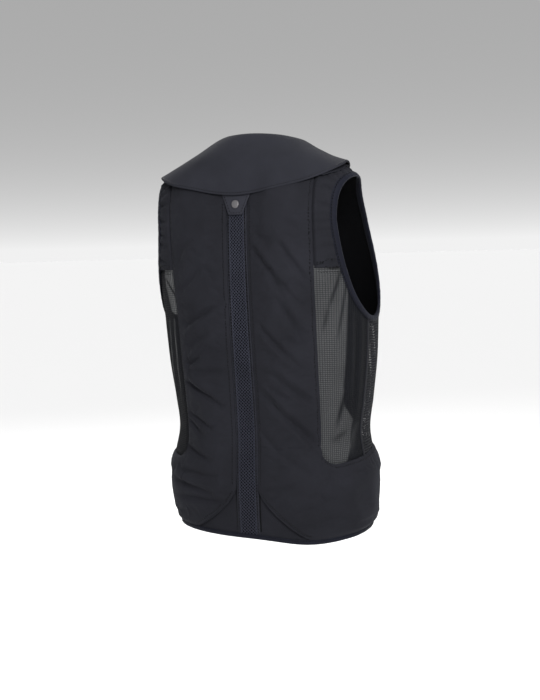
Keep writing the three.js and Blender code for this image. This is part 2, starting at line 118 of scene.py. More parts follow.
# Collar.
COLLAR_THICK = 3.6
COLLAR_END = 168 * DEGREE
COLLAR_STAND_FOOT = 12
COLLAR_STAND_INSET = -4
COLLAR_FOLD_IN = 5
COLLAR_FOLD_RISE_BACK = 22
COLLAR_FOLD_RISE_FRONT = 14
COLLAR_EDGE_ANGLE = (0, 45, 76, 105, 168)
COLLAR_EDGE_HEIGHT = (-54, -51, -45, -33, -24)
COLLAR_FALL_SHARE = (0.28, 0.63, 1)
COLLAR_FALL_CLEAR = (15, 12, 11)

# Tab and snap at the centre back.
TAB_TOP = -28
TAB_FOOT = -83
TAB_SHOULDER = -50
TAB_HALF_TOP = 25.5
TAB_HALF_FOOT = 12
TAB_INNER = 4.9
TAB_THICK = 1.8
SNAP_HEIGHT = -67


def mix(low, high, share):
    return low + (high - low) * share


def unmix(low, high, value):
    return np.clip((value - low) / (high - low), 0, 1)


def ease(share):
    return share * share * (3 - 2 * share)


def bell(off):
    return np.exp(-off ** 2)


def paired(first, second):
    return np.stack(np.broadcast_arrays(first, second), -1)


def column(name, height):
    """A ring column at any height, by a cubic that never overshoots its rows."""
    knots = RINGS[:, 0]
    values = RINGS[:, RING_COLUMNS.index(name)]
    between = np.diff(values) / np.diff(knots)
    before, after = between[:-1], between[1:]
    total = np.where(before + after == 0, 1, before + after)
    inner = np.where(before * after <= 0, 0, 2 * before * after / total)
    slopes = np.concatenate([between[:1], inner, between[-1:]])
    row = np.searchsorted(knots[1:-1], height)
    span = knots[row + 1] - knots[row]
    t = (height - knots[row]) / span
    bend = t * (1 - t) ** 2 * slopes[row] + t * t * (t - 1) * slopes[row + 1]
    return mix(values[row], values[row + 1], ease(t)) + span * bend


def torso(angle, height):
    """The body's surface: angle runs from the centre back towards the wearer's left."""
    angle, height = np.broadcast_arrays(np.asarray(angle, float), np.asarray(height, float))
    across, along = np.sin(angle), np.cos(angle)
    power = column("squareness", height)
    depth = np.where(along > 0, column("back", height), column("front", height))
    wide = np.abs(across / column("half_width", height)) ** power
    radius = (wide + np.abs(along / depth) ** power) ** (-1 / power)
    end = np.where(along > 0, height, column("z_front", height))
    return np.stack([
        radius * across,
        radius * along + column("side_y", height) * across ** 2,
        mix(column("z_side", height), end, np.abs(along) ** RING_RISE_POWER),
    ], -1)


def unit(vectors):
    return vectors / np.linalg.norm(vectors, axis=-1, keepdims=True)


def torso_normal(angle, height):
    along_turn = torso(angle + TURN_STEP, height) - torso(angle - TURN_STEP, height)
    along_height = torso(angle, height + HEIGHT_STEP) - torso(angle, height - HEIGHT_STEP)
    return unit(np.cross(along_height, along_turn))


def above(angle, height, clear):
    """A place at some clearance over the body."""
    return torso(angle, height) + torso_normal(angle, height) * np.asarray(clear)[..., None]


def angle_at_x(x, height, front=False):
    """Ring angle at a distance from the centre plane, on the back or on the front."""
    power = column("squareness", height)
    depth = column("front" if front else "back", height)
    wide = np.clip(x / column("half_width", height), 0, 1)
    return np.arctan2(x, (1 - wide ** power) ** (1 / power) * depth * (-1 if front else 1))


def on_back(x, height):
    """Ring angle of a place on the back, either side of the centre plane."""
    return np.sign(x) * angle_at_x(np.abs(x), height)


# Edges that panels share.
def strip_half(height):
    return mix(STRIP_HALF_FOOT, STRIP_HALF_TOP, unmix(*STRIP_WIDEN, height))


def panel_inner_x(height):
    return strip_half(height) + BORDER_WIDTH + 2 * SEAM_GAP


def seam_angle(height):
    x = mix(SEAM_X_WAIST, SEAM_X_TOP, unmix(HIP_CORNER, SHOULDER_SEAM, height))
    return angle_at_x(x, height)


def zip_angle(height, x=ZIP_HALF + SEAM_GAP):
    return angle_at_x(x, height, front=True)


def tulip_edge(x):
    inner = panel_inner_x(TULIP_TOP)
    return mix(TULIP_TOP, HEM_TUCK, unmix(inner, inner + TULIP_SPREAD, x) ** (1 / TULIP_POWER))


def hip_top(angle):
    from_seam = angle - seam_angle(HIP_CORNER)
    level = HIP_TOP_BACK + HIP_RISE * from_seam / (math.pi - seam_angle(HIP_CORNER))
    in_corner = 1 - unmix(0, HIP_CORNER_WIDE, from_seam * MEAN_RADIUS)
    return level + HIP_CORNER_HIGH * (1 - np.sqrt(1 - in_corner ** 2))


def armhole_reach(height, reach, inset):
    end = np.where(height > ARM_WIDEST, ARM_TOP + inset, ARM_FOOT - inset)
    fall = unmix(ARM_WIDEST, end, height)
    share = (1 - fall ** ARM_SQUARENESS) ** (1 / ARM_SQUARENESS)
    return share * (reach + inset / MEAN_RADIUS)


def armhole_back(height, inset):
    return SIDE - armhole_reach(height, ARM_REACH_BACK, inset)


def armhole_front(height, inset):
    return SIDE + armhole_reach(height, ARM_REACH_FRONT, inset)


def armhole_place(turn, inset):
    """Ring angle and height on the armhole's edge, inset into the cloth."""
    rise, lean = (np.sign(v) * np.abs(v) ** (2 / ARM_SQUARENESS) for v in (np.sin(turn), np.cos(turn)))
    end = np.where(rise > 0, ARM_TOP + inset, ARM_FOOT - inset)
    reach = np.where(lean > 0, ARM_REACH_BACK, ARM_REACH_FRONT) + inset / MEAN_RADIUS
    return SIDE - lean * reach, mix(ARM_WIDEST, end, np.abs(rise))


def in_armhole(angle, height, inset):
    inside = (angle > armhole_back(height, inset)) & (angle < armhole_front(height, inset))
    return inside & (height > ARM_FOOT - inset) & (height < ARM_TOP + inset)


# Building meshes.
EDGE_CLOSE = (0.4, 1.0, 1.9, 3.2)
WELD = 0.01


def rounded(away, reach, drop=1):
    """Share of its full height that a rounded edge keeps. drop says how much of it the very edge loses."""
    return np.sqrt(1 - drop * (1 - unmix(0, reach, away)) ** 2)


def shares(length, step, start=True, end=True):
    """Shares of a length a step apart, with closer ones at each end that is a rounded edge."""
    close = np.array((0, *EDGE_CLOSE))
    low = close[-1] if start else 0
    high = length - close[-1] if end else length
    middle = np.linspace(low, high, max(2, round((high - low) / step) + 1))
    first = close[:-1] if start else []
    last = length - close[:-1][::-1] if end else []
    return np.concatenate([first, middle, last]) / length


def patch(base, outer, inner, cloth):
    return {"base": base, "outer": outer, "inner": inner, "cloth": cloth}


def wall(*patches):
    """A closed skin from grid patches: the outer side, the inner side and a rim along every free edge."""
    keys = np.concatenate([np.round(p["base"].reshape(-1, 3) / WELD) for p in patches])
    _, first, index = np.unique(keys, axis=0, return_index=True, return_inverse=True)
    index = index.ravel()
    quads, start = [], 0
    for p in patches:
        rows, columns = p["base"].shape[:2]
        ids = index[start:start + rows * columns].reshape(rows, columns)
        quads.append(np.stack([ids[:-1, :-1], ids[:-1, 1:], ids[1:, 1:], ids[1:, :-1]], -1).reshape(-1, 4))
        start += rows * columns
    quads = np.concatenate(quads)
    count = len(first)
    begin, finish = quads.ravel(), np.roll(quads, -1, axis=1).ravel()
    free = ~np.isin(finish * count + begin, begin * count + finish)
    a, b = begin[free], finish[free]
    rims = np.stack([b, a, a + count, b + count], -1)
    points = [np.concatenate([p[skin].reshape(-1, 3) for p in patches])[first] for skin in ("outer", "inner")]
    cloth = np.concatenate([p["cloth"].reshape(-1, 2) for p in patches])[first]
    faces = np.concatenate([quads, quads[:, ::-1] + count, rims])
    return np.concatenate(points), faces, np.tile(cloth, (2, 1))


def layer(angle, height, outer, inner):
    """A patch on the body, with its outer and its inner side at levels over it."""
    angle, height = np.broadcast_arrays(angle, height)
    base, normal = torso(angle, height), torso_normal(angle, height)
    skins = (base + normal * np.broadcast_to(level, angle.shape)[..., None] for level in (outer, inner))
    return patch(base, *skins, paired(angle * MEAN_RADIUS, height))


def tube(rings, cloth, closed):
    """A closed tube through rings of points: the first axis runs along it, the second round it."""
    count, corners = rings.shape[:2]
    low = np.arange(count if closed else count - 1)[:, None] * corners + np.arange(corners)
    high = (low + corners) % (count * corners)
    faces = [np.stack([low, np.roll(low, -1, 1), np.roll(high, -1, 1), high], -1).reshape(-1, 4)]
    if not closed:
        cap = np.array([(k, k + 1, corners - 2 - k, corners - 1 - k) for k in range(corners // 2 - 1)])
        faces += [cap[:, ::-1], (count - 1) * corners + cap]
    return rings.reshape(-1, 3), np.concatenate(faces), cloth.reshape(-1, 2)


def lengths(line):
    """How far along a line each of its points is."""
    return np.concatenate([[0], np.cumsum(np.linalg.norm(np.diff(line, axis=0), axis=1))])


def join(*skins):
    """Several (points, faces, cloth) skins as one."""
    starts = np.cumsum([0] + [len(points) for points, _, _ in skins])
    return (np.concatenate([points for points, _, _ in skins]),
            np.concatenate([faces + start for (_, faces, _), start in zip(skins, starts)]),
            np.concatenate([cloth for _, _, cloth in skins]))


def sweep(lines, section):
    """Closed bars along lines of (points, side vectors, up vectors). The section is (side, up) pairs."""
    bars = []
    for centre, side, up in lines:
        rings = centre[:, None] + side[:, None] * section[None, :, :1] + up[:, None] * section[None, :, 1:]
        cloth = paired(section[None, :, 0], lengths(centre)[:, None])
        bars.append(tube(rings, cloth, closed=False))
    return join(*bars)


# How the vest hangs unevenly: the hem sags behind the right hip, and the band stands out at the left hip.
SAG = 9
SAG_X = -105
SAG_SPREAD = 62
SAG_HEIGHTS = (-520, -606)
SAG_BEHIND = (-40, 40)
HIP_OUT = 6
HIP_OUT_X = 165
HIP_OUT_SPREAD = 45
HIP_OUT_HEIGHT = -492
HIP_OUT_TALL = 55


def drape(points):
    """Points moved to where the worn vest's uneven hang takes them."""
    x, y, z = points.T
    drop = SAG * bell((x - SAG_X) / SAG_SPREAD) * unmix(*SAG_BEHIND, y) * ease(unmix(*SAG_HEIGHTS, z))
    out = HIP_OUT * bell((x - HIP_OUT_X) / HIP_OUT_SPREAD) * bell((z - HIP_OUT_HEIGHT) / HIP_OUT_TALL)
    return np.stack([x + out, y, z - drop], -1)


def place_object(name, data):
    thing = bpy.data.objects.new(name, data)
    bpy.context.scene.collection.objects.link(thing)
    return thing


def make_piece(kind, node, skin, material, side=1, tone=None, draped=False):
    """A piece from a skin in millimetres. side is -1 for one that is mirrored to the wearer's right."""
    points, faces, cloth = skin
    name = f"{kind}_{node}"
    if side < 0:
        points = points * (-1, 1, 1)
        faces = [face[::-1] for face in faces]
    mesh = bpy.data.meshes.new(name)
    points = points if draped else drape(points)
    mesh.from_pydata((points * MM).tolist(), [], [list(face) for face in faces])
    mesh.polygons.foreach_set("use_smooth", np.ones(len(mesh.polygons), bool))
    flat = np.concatenate([cloth * MM, np.zeros((len(cloth), 1))], 1).astype(np.float32)
    mesh.attributes.new("cloth", "FLOAT_VECTOR", "POINT").data.foreach_set("vector", flat.ravel())
    if tone is not None:
        mesh.attributes.new("tone", "FLOAT", "POINT").data.foreach_set("value", tone.astype(np.float32))
    mesh.materials.append(material)
    mesh.update()
    piece = place_object(name, mesh)
    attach(piece, "root")
    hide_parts(node)
    return piece


class Seam:
    """A sewn line on the body, asked how near it places are and how far along it."""

    def __init__(self, points):
        self.along = lengths(points)
        self.tree = kdtree.KDTree(len(points))
        for place, point in enumerate(points):
            self.tree.insert(point, place)
        self.tree.balance()

    def near(self, places):
        found = [self.tree.find(place) for place in places.reshape(-1, 3)]
        away = np.array([f[2] for f in found]).reshape(places.shape[:-1])
        return away, self.along[[f[1] for f in found]].reshape(places.shape[:-1])


# Waves that make up a ripple: height, length and phase of each, as shares of the first one's.
RIPPLE_WAVES = ((1, 1, 1), (0.7, 1.73, 2.1), (0.5, 0.61, 3.7))


def ripple(along, pitch, phase):
    """An uneven wave of about a pitch, between -1 and 1."""
    turns = 2 * math.pi * along / pitch
    waves = sum(high * np.sin(turns / long + late * phase) for high, long, late in RIPPLE_WAVES)
    return waves / sum(high for high, _, _ in RIPPLE_WAVES)


# Materials.
WEAVES = {
    "plain": ((1, 0), (0, 1)),
    "twill": ((1, 1), (1, -0.35)),
    "rib": ((0, 1), (1, 0.1)),
    "cord": ((1, 0), (0.2, 1)),
}
FIBRE = {"Scale": 1400, "Detail": 3, "Roughness": 0.6}
MOTTLE = {"Scale": 16, "Detail": 5, "Roughness": 0.55}
SNAP_GRAIN = {"Scale": 2200, "Detail": 2}
SNAP_GLOSS = {"To Min": 0.35, "To Max": 0.55}
SNAP_BUMP = {"Strength": 0.15, "Distance": 0.1 * MM}
SNAP_SHADER = {"Base Color": (0.085, 0.082, 0.086, 1), "Metallic": 0.3}
BUMP_STRENGTH = 0.5
WEAVE_RELIEF = 0.5
FIBRE_SHADE = 0.5
WEAVE_SHADE = 0.1
GLOSS_SPREAD = 0.1
CLOTH_SHADER = {"Sheen Roughness": 0.4, "Sheen Tint": (0.8, 0.85, 1, 1), "Specular IOR Level": 0.08}


class Graph:
    """A node tree, with short ways to add nodes and to feed their inputs from values or other nodes."""

    def __init__(self, tree):
        self.nodes, self.links = tree.nodes, tree.links

    def feed(self, node, inputs):
        for key, value in dict(inputs).items():
            if isinstance(value, bpy.types.NodeSocket):
                self.links.new(value, node.inputs[key])
            else:
                node.inputs[key].default_value = value

    def add(self, kind, inputs=(), **settings):
        node = self.nodes.new("ShaderNode" + kind)
        for key, value in settings.items():
            setattr(node, key, value)
        self.feed(node, inputs)
        return node

    def math(self, operation, *values):
        return self.add("Math", enumerate(values), operation=operation).outputs[0]

    def wave(self, cloth, direction, pitch):
        """A sine across the cloth, in a direction, with a pitch in millimetres."""
        turns = 2 * math.pi / (pitch * MM)
        across = (direction[0] * turns, direction[1] * turns, 0)
        dot = self.add("VectorMath", enumerate((cloth, across)), operation="DOT_PRODUCT")
        return self.math("SINE", dot.outputs["Value"])


def new_material(name):
    material = bpy.data.materials.new(name)
    material.use_nodes = True
    return material, Graph(material.node_tree), material.node_tree.nodes["Principled BSDF"]


def fabric(name, colour, weave, pitch, roughness, depth, second=None, grain=0.2, sheen=0.03):
    """Woven or knitted cloth: weave and fibres in its bump, uneven colour and gloss, and a soft sheen.

    second is the colour where the mesh's tone is 1.
    """
    material, graph, shader = new_material(name)
    cloth = graph.add("Attribute", attribute_name="cloth").outputs["Vector"]
    place = graph.add("TexCoord").outputs["Object"]
    crossing = graph.math("MULTIPLY", *(graph.wave(cloth, direction, pitch) for direction in WEAVES[weave]))
    noises = (graph.add("TexNoise", {**noise, "Vector": place}) for noise in (FIBRE, MOTTLE))
    fibre, mottle = (noise.outputs[0] for noise in noises)
    relief = graph.math("MULTIPLY_ADD", crossing, WEAVE_RELIEF, fibre)
    bump = graph.add("Bump", {"Strength": BUMP_STRENGTH, "Distance": depth * MM, "Height": relief})
    uneven = graph.math("MULTIPLY_ADD", fibre, FIBRE_SHADE, mottle)
    uneven = graph.math("MULTIPLY_ADD", crossing, WEAVE_SHADE, uneven)
    level = graph.add("MapRange", {"Value": uneven, "From Min": 0.5, "From Max": 1,
                                   "To Min": 1 - grain, "To Max": 1 + grain})
    if second is not None:
        tone = graph.add("Attribute", attribute_name="tone").outputs["Fac"]
        blend = graph.add("Mix", {"A": (*colour, 1), "B": (*second, 1), "Factor": tone}, data_type="RGBA")
        colour = blend.outputs["Result"]
    tint = graph.add("VectorMath", {0: colour, "Scale": level.outputs[0]}, operation="SCALE")
    gloss = graph.add("MapRange", {"Value": mottle, "To Min": roughness - GLOSS_SPREAD,
                                   "To Max": roughness + GLOSS_SPREAD})
    made = {"Normal": bump.outputs[0], "Base Color": tint.outputs[0], "Roughness": gloss.outputs[0]}
    graph.feed(shader, {**made, **CLOTH_SHADER, "Sheen Weight": sheen})
    return material


def snap_finish():
    """Satin painted metal with a faint grain."""
    material, graph, shader = new_material("satin_snap")
    place = graph.add("TexCoord").outputs["Object"]
    grain = graph.add("TexNoise", {**SNAP_GRAIN, "Vector": place}).outputs[0]
    gloss = graph.add("MapRange", {**SNAP_GLOSS, "Value": grain})
    bump = graph.add("Bump", {**SNAP_BUMP, "Height": grain})
    made = {"Roughness": gloss.outputs[0], "Normal": bump.outputs[0]}
    graph.feed(shader, {**made, **SNAP_SHADER})
    return material


SOFTSHELL = fabric("softshell", (0.0102, 0.0104, 0.0134), "twill", 0.9, 0.9, 0.12)
COLLAR_SHELL = fabric("collar_softshell", (0.0138, 0.0143, 0.0186), "twill", 0.9, 0.9, 0.12, sheen=0)
# The tab's cloth is lighter than the softshell. This is partly its own tone, and partly painted light that
# offsets the collar's shadow on it.
TAB_SHELL_WITH_LIGHT = fabric("tab_softshell_painted_light", (0.0185, 0.019, 0.0245), "twill", 0.9, 0.75, 0.12)
# The spine net's second colour, near black, is painted shade in the holes of its lattice, laid on the ground
# under it.
SPINE_NET = fabric("spine_net", (0.0225, 0.024, 0.0345), "cord", 0.6, 0.6, 0.1,
                   second=(0.0008, 0.0009, 0.0015))
BORDER_TAPE = fabric("border_tape", (0.0135, 0.014, 0.0188), "rib", 0.8, 0.7, 0.15)
BINDING_TAPE = fabric("binding_tape", (0.0052, 0.0058, 0.0105), "rib", 1.1, 0.65, 0.22)
# The gauze's pale colour is painted light, for a lit body seen through it. Its second colour is painted shade
# of the vest's shaded inside.
SIDE_GAUZE = fabric("side_gauze_painted_light", (0.098, 0.1, 0.102), "plain", 0.7, 0.7, 0.06, sheen=0,
                    second=(0.0042, 0.0047, 0.0066))
# The grid's threads carry the same painted light and painted shade as the gauze.
SIDE_THREAD = fabric("side_thread_painted_light", (0.027, 0.028, 0.0295), "cord", 0.6, 0.6, 0.08, sheen=0,
                     second=(0.005, 0.0053, 0.0066))
# The front net's second colour, near black, is painted shade of the vest's shaded inside, on the ground
# behind the net.
FRONT_NET = fabric("front_net", (0.0095, 0.0099, 0.0126), "cord", 0.6, 0.62, 0.1, sheen=0,
                   second=(0.0012, 0.0013, 0.0018))
ZIP_TAPE = fabric("zip_tape", (0.01, 0.0105, 0.013), "rib", 0.8, 0.6, 0.12)
# The thread is near black. This is partly its own dark colour, and partly painted shade of the pits the
# stitches sink into.
THREAD = fabric("sewing_thread_painted_shade", (0.0012, 0.0013, 0.0018), "cord", 0.5, 0.5, 0.08, sheen=0)
SNAP_METAL = snap_finish()


# Rows of stitches.
STITCH_PITCH = 4.8
STITCH_LONG = 3
STITCH_WIDE = 2.1
STITCH_HIGH = 0.4
STITCH_ROOT = 0.12
STITCH_FROM = 12
ROW_STEP = 2.0
ROW_TURN = 0.02
SHORT_ROW_TURN = 0.01
ROW_POINTS = 400
SEAM_ROW_TOP = 0
HIP_ROW_SHORT = 0.1
TULIP_ROW_SHORT = (3, 6)
SPINE_ROW_SHORT = 6
SPINE_ROW_TOP = TAB_FOOT + 20
BEAD_POINTS = np.array([(-0.5, 0, 0), (-0.28, 0.5, 0), (-0.28, 0, 1), (-0.28, -0.5, 0),
                        (0.28, 0.5, 0), (0.28, 0, 1), (0.28, -0.5, 0), (0.5, 0, 0)])
BEAD_FACES = ((0, 2, 1), (0, 3, 2), (0, 1, 3), (1, 2, 5, 4), (2, 3, 6, 5), (3, 1, 4, 6),
              (7, 4, 5), (7, 5, 6), (7, 6, 4))


def spaced(line, pitch):
    """Points a pitch apart along a line."""
    along = lengths(line)
    at = np.arange(pitch / 2, along[-1], pitch)
    return np.stack([np.interp(at, along, line[:, axis]) for axis in range(3)], -1)


def stitch_row(angle, height):
    """A line over the body that a row of stitches is dropped from."""
    angle, height = np.broadcast_arrays(angle, height)
    return above(angle, height, np.full(angle.shape, STITCH_FROM))


def stitches(node, cloth_piece, lines, side=1):
    """Short beads of thread on a piece's surface along lines near it."""
    mesh = cloth_piece.data
    corners = [vertex.co for vertex in mesh.vertices]
    surface = bvhtree.BVHTree.FromPolygons(corners, [polygon.vertices[:] for polygon in mesh.polygons])
    points, faces = [], []
    for line in lines:
        row = drape(spaced(line, STITCH_PITCH) * (side, 1, 1))
        found = [surface.find_nearest(Vector(place * MM)) for place in row]
        places = np.array([f[0] for f in found]) / MM
        up = np.array([f[1] for f in found])
        ahead = np.gradient(places, axis=0)
        ahead = unit(ahead - up * (ahead * up).sum(-1, keepdims=True))
        beside = np.cross(up, ahead)
        for place, n, t, b in zip(places, up, ahead, beside):
            long, wide, high = (BEAD_POINTS * (STITCH_LONG, STITCH_WIDE, STITCH_HIGH)).T[..., None]
            start = len(BEAD_POINTS) * len(points)
            points.append(place + long * t + wide * b + (high - STITCH_ROOT) * n)
            faces.extend([[v + start for v in face] for face in BEAD_FACES])
    points = np.concatenate(points)
    return make_piece("stitches", node, (points, faces, points[:, (0, 2)]), THREAD, draped=True)


# Padded back panels, each one piece with the hip band.
PAD_EDGE = 0.8
PAD_ROLL = 2.0
PAD_ROLL_REACH = 1.6
PAD_PUFF = 4.7
PAD_FADE = 14
STITCH_INSET = 2.5
STITCH_SINK = 0.45
STITCH_SINK_REACH = 1.2
PUCKER_RISE = 0.5
PUCKER_REACH = 8
PUCKER_PITCH = 15
PUCKER_PHASE = 1.3
PUCKER_FROM_EDGE = (0, 3)
SWAY_RISE = 0.7
SWAY_PITCH = 75
SWAY_LEAN = 0.6
SWAY_FROM_EDGE = (0, 30)
TULIP_LIFT = 2.4
TULIP_LIFT_REACH = 20
HEM_SQUEEZE = (HEM + 4, HEM + 16)
HEM_LEVEL = 1.5
PANEL_STEP = 2.9
PRESSED = 0.65
PRESSED_REACH = 24
PRESSED_HEIGHTS = (-360, -300, -150, -120)

# Soft folds across the padding: ridges, and creases with a rise below nothing. Each goes from one place to
# another, by distance from the centre plane and height.
FOLD_COLUMNS = ("side", "from_x", "from_height", "to_x", "to_height", "half", "rise")
FOLDS = (
    (-1, 30, -139, 56, -171, 6, -3.0),
    (-1, 56, -171, 80, -217, 7, -3.3),
    (-1, 30, -124, 104, -214, 9, 2.8),
    (-1, 77, -134, 111, -186, 5.5, -3.6),
    (-1, 84, -128, 115, -176, 8, 2.2),
    (-1, 67, -217, 102, -283, 8, -3.3),
    (-1, 74, -205, 112, -268, 9, 2.1),
    (-1, 39, -264, 96, -325, 7, -3.0),
    (-1, 40, -250, 92, -306, 9, 2.2),
    (-1, 51, -334, 112, -390, 8, -3.0),
    (-1, 58, -324, 114, -374, 9, 2.0),
    (-1, 32, -369, 75, -411, 7.5, -3.4),
    (-1, 75, -411, 112, -456, 7.5, -3.9),
    (-1, 36, -352, 109, -432, 9, 2.7),
    (-1, 22, -426, 50, -458, 7, -2.2),
    (-1, 50, -458, 108, -504, 8, -2.2),
    (-1, 106, -462, 121, -474, 5, -2.4),
    (1, 109, -155, 89, -126, 7, -1.8),
    (1, 102, -200, 61, -164, 8, -2.7),
    (1, 97, -257, 28, -223, 8, -3.0),
    (1, 100, -274, 36, -234, 7, 2.4),
    (1, 96, -291, 57, -270, 7, -2.7),
    (1, 96, -312, 48, -278, 6, 2.4),
    (1, 104, -323, 75, -310, 5, -3.6),
    (1, 100, -335, 31, -333, 6, -2.5),
    (1, 102, -348, 60, -360, 8, 2.2),
    (1, 102, -354, 41, -389, 6, -3.9),
    (1, 108, -406, 63, -426, 6, -2.8),
    (1, 110, -420, 83, -439, 5.5, -2.8),
    (1, 134, -459, 64, -484, 6, -3.2),
    (1, 143, -506, 56, -506, 6, -2.7),
    (1, 145, -514, 92, -520, 7, 2.2),
    (1, 152, -521, 66, -536, 6.5, -3.6),
    (1, 146, -548, 37, -549, 6, -3.2),
)
FOLD_STEEP = 0.75
FOLD_DEPTH = {1: 1.75, -1: 1.3}
FOLD_SIDE = (156, 108)
FOLD_ENDS = (0.2, 0.9)
FOLD_BLUNT = 0.7
FOLD_FROM_EDGE = (0, 7)


def beside_run(x, y, run_x, run_y):
    """The share of a straight run that each place lies beside, and how far off it the place is."""
    share = np.clip((x * run_x + y * run_y) / (run_x ** 2 + run_y ** 2), 0, 1)
    return share, x - share * run_x, y - share * run_y


def fold_rise(side, x, height):
    """Height of the soft folds: each is steeper on its lower side and fades at its ends and round the hip."""
    total = np.zeros(np.shape(x))
    for row in FOLDS:
        fold = dict(zip(FOLD_COLUMNS, row))
        if fold["side"] != side:
            continue
        run = fold["to_x"] - fold["from_x"], fold["to_height"] - fold["from_height"]
        share, off_x, off_h = beside_run(x - fold["from_x"], height - fold["from_height"], *run)
        away = np.hypot(off_x, off_h) / np.where(off_h < 0, fold["half"] * FOLD_STEEP, fold["half"])
        total += fold["rise"] * bell(away) * np.sin(math.pi * mix(*FOLD_ENDS, share)) ** FOLD_BLUNT
    return total * FOLD_DEPTH[side] * ease(unmix(*FOLD_SIDE, x))


def back_seams():
    """Lines that a back panel is sewn along, and its free lower edge."""
    up = np.arange(TULIP_TOP, PANEL_TOP, 1.0)
    across = panel_inner_x(TULIP_TOP) + np.arange(0, TULIP_SPREAD, 0.5)
    seam_up = np.arange(HIP_CORNER, PANEL_TOP, 1.0)
    turns = np.arange(seam_angle(HIP_CORNER), zip_angle(HIP_TOP_BACK + HIP_RISE), TURN_STEP)
    lines = {
        "spine": (angle_at_x(panel_inner_x(up), up), up),
        "tulip": (angle_at_x(across, tulip_edge(across)), tulip_edge(across)),
        "seam": (seam_angle(seam_up), seam_up),
        "hip": (turns, hip_top(turns)),
    }
    return {name: Seam(torso(*line)) for name, line in lines.items()}


BACK_SEAMS = back_seams()


def pressed_flat(side, near, height):
    """How much of its puff the left panel keeps beside its seam, where it is pressed flat."""
    low, foot, top, high = PRESSED_HEIGHTS
    within = ease(unmix(low, foot, height)) * ease(unmix(high, top, height))
    return 1 - PRESSED * (side > 0) * within * np.exp(-near / PRESSED_REACH)


def pad_levels(side, base, height):
    """How far the padded skin and its lining stand over the body."""
    nears, pucker = {}, 0
    for place, (name, seam) in enumerate(BACK_SEAMS.items()):
        near, along = seam.near(base)
        nears[name] = near
        waves = ripple(along, PUCKER_PITCH, PUCKER_PHASE * place + side)
        pucker = pucker + PUCKER_RISE * np.exp(-near / PUCKER_REACH) * waves
    away = np.min(list(nears.values()), axis=0)
    lift = TULIP_LIFT * np.exp(-nears["tulip"] / TULIP_LIFT_REACH)
    roll = PAD_ROLL * (1 - np.exp(-away / PAD_ROLL_REACH))
    puff = PAD_PUFF * (1 - np.exp(-away / PAD_FADE))
    sink = STITCH_SINK * bell((away - STITCH_INSET) / STITCH_SINK_REACH)
    x = base[..., 0]
    sway = SWAY_RISE * ripple(height + SWAY_LEAN * x, SWAY_PITCH, 2 * side) * unmix(*SWAY_FROM_EDGE, away)
    folds = fold_rise(side, x, height) * unmix(*FOLD_FROM_EDGE, away)
    full = PAD_EDGE + (roll + puff) * pressed_flat(side, nears["seam"], height) - sink
    full += pucker * unmix(*PUCKER_FROM_EDGE, away) + sway + folds + lift
    sewn = ease(unmix(*HEM_SQUEEZE, height))
    return mix(HEM_LEVEL, full, sewn), lift * sewn


def pad_layer(side, angle, height):
    return layer(angle, height, *pad_levels(side, torso(angle, height), height))


# A short cloth run on each padded panel: its slack cloth is pressed out between the seams that hold it.
CLOTH_FRAMES = 20
CLOTH_CAP = 3.5
CLOTH_GROUP = "sewn"
CLOTH_SETTINGS = {
    "vertex_group_mass": CLOTH_GROUP,
    "quality": 4,
    "mass": 0.3,
    "tension_stiffness": 15,
    "compression_stiffness": 15,
    "shear_stiffness": 5,
    "bending_stiffness": 0.5,
    "tension_damping": 10,
    "compression_damping": 10,
    "shear_damping": 10,
    "air_damping": 3,
    "use_pressure": True,
    "uniform_pressure_force": 0.8,
    "shrink_min": -0.025,
}
SEWN_REACH = (9, 20)
SEWN_HEM = (HEM + 16, HEM + 30)
SEWN_TOP = (PANEL_TOP - 5, PANEL_TOP - 25)


def sewn_shares(points):
    """How firmly each point of a padded skin is held: lining and seams wholly, open cloth not at all."""
    outer = points[:len(points) // 2]
    away = np.min([seam.near(outer)[0] for seam in BACK_SEAMS.values()], axis=0)
    free = unmix(*SEWN_REACH, away) * unmix(*SEWN_HEM, outer[:, 2]) * unmix(*SEWN_TOP, outer[:, 2])
    return np.concatenate([1 - free, np.ones(len(points) - len(outer))])


def press_out(piece, held):
    """Run the cloth, and keep where it takes the skin, up to a cap."""
    group = piece.vertex_groups.new(name=CLOTH_GROUP)
    for place, share in enumerate(held):
        group.add([place], share, "REPLACE")
    cloth = piece.modifiers.new(CLOTH_GROUP, "CLOTH")
    for name, value in CLOTH_SETTINGS.items():
        setattr(cloth.settings, name, value)
    cloth.settings.effector_weights.gravity = 0
    cloth.collision_settings.use_collision = False
    cloth.point_cache.frame_end = CLOTH_FRAMES
    for moment in range(1, CLOTH_FRAMES + 1):
        bpy.context.scene.frame_set(moment)
    before, after = np.empty((2, 3 * len(held)))
    piece.data.vertices.foreach_get("co", before)
    piece.evaluated_get(bpy.context.evaluated_depsgraph_get()).data.vertices.foreach_get("co", after)
    step = (after - before).reshape(-1, 3)
    far = np.linalg.norm(step, axis=1, keepdims=True)
    step *= CLOTH_CAP * MM / np.maximum(far, CLOTH_CAP * MM)
    piece.data.vertices.foreach_set("co", before + step.ravel())
    piece.modifiers.remove(cloth)
    piece.vertex_groups.remove(group)
    piece.data.update()
    bpy.context.scene.frame_set(1)


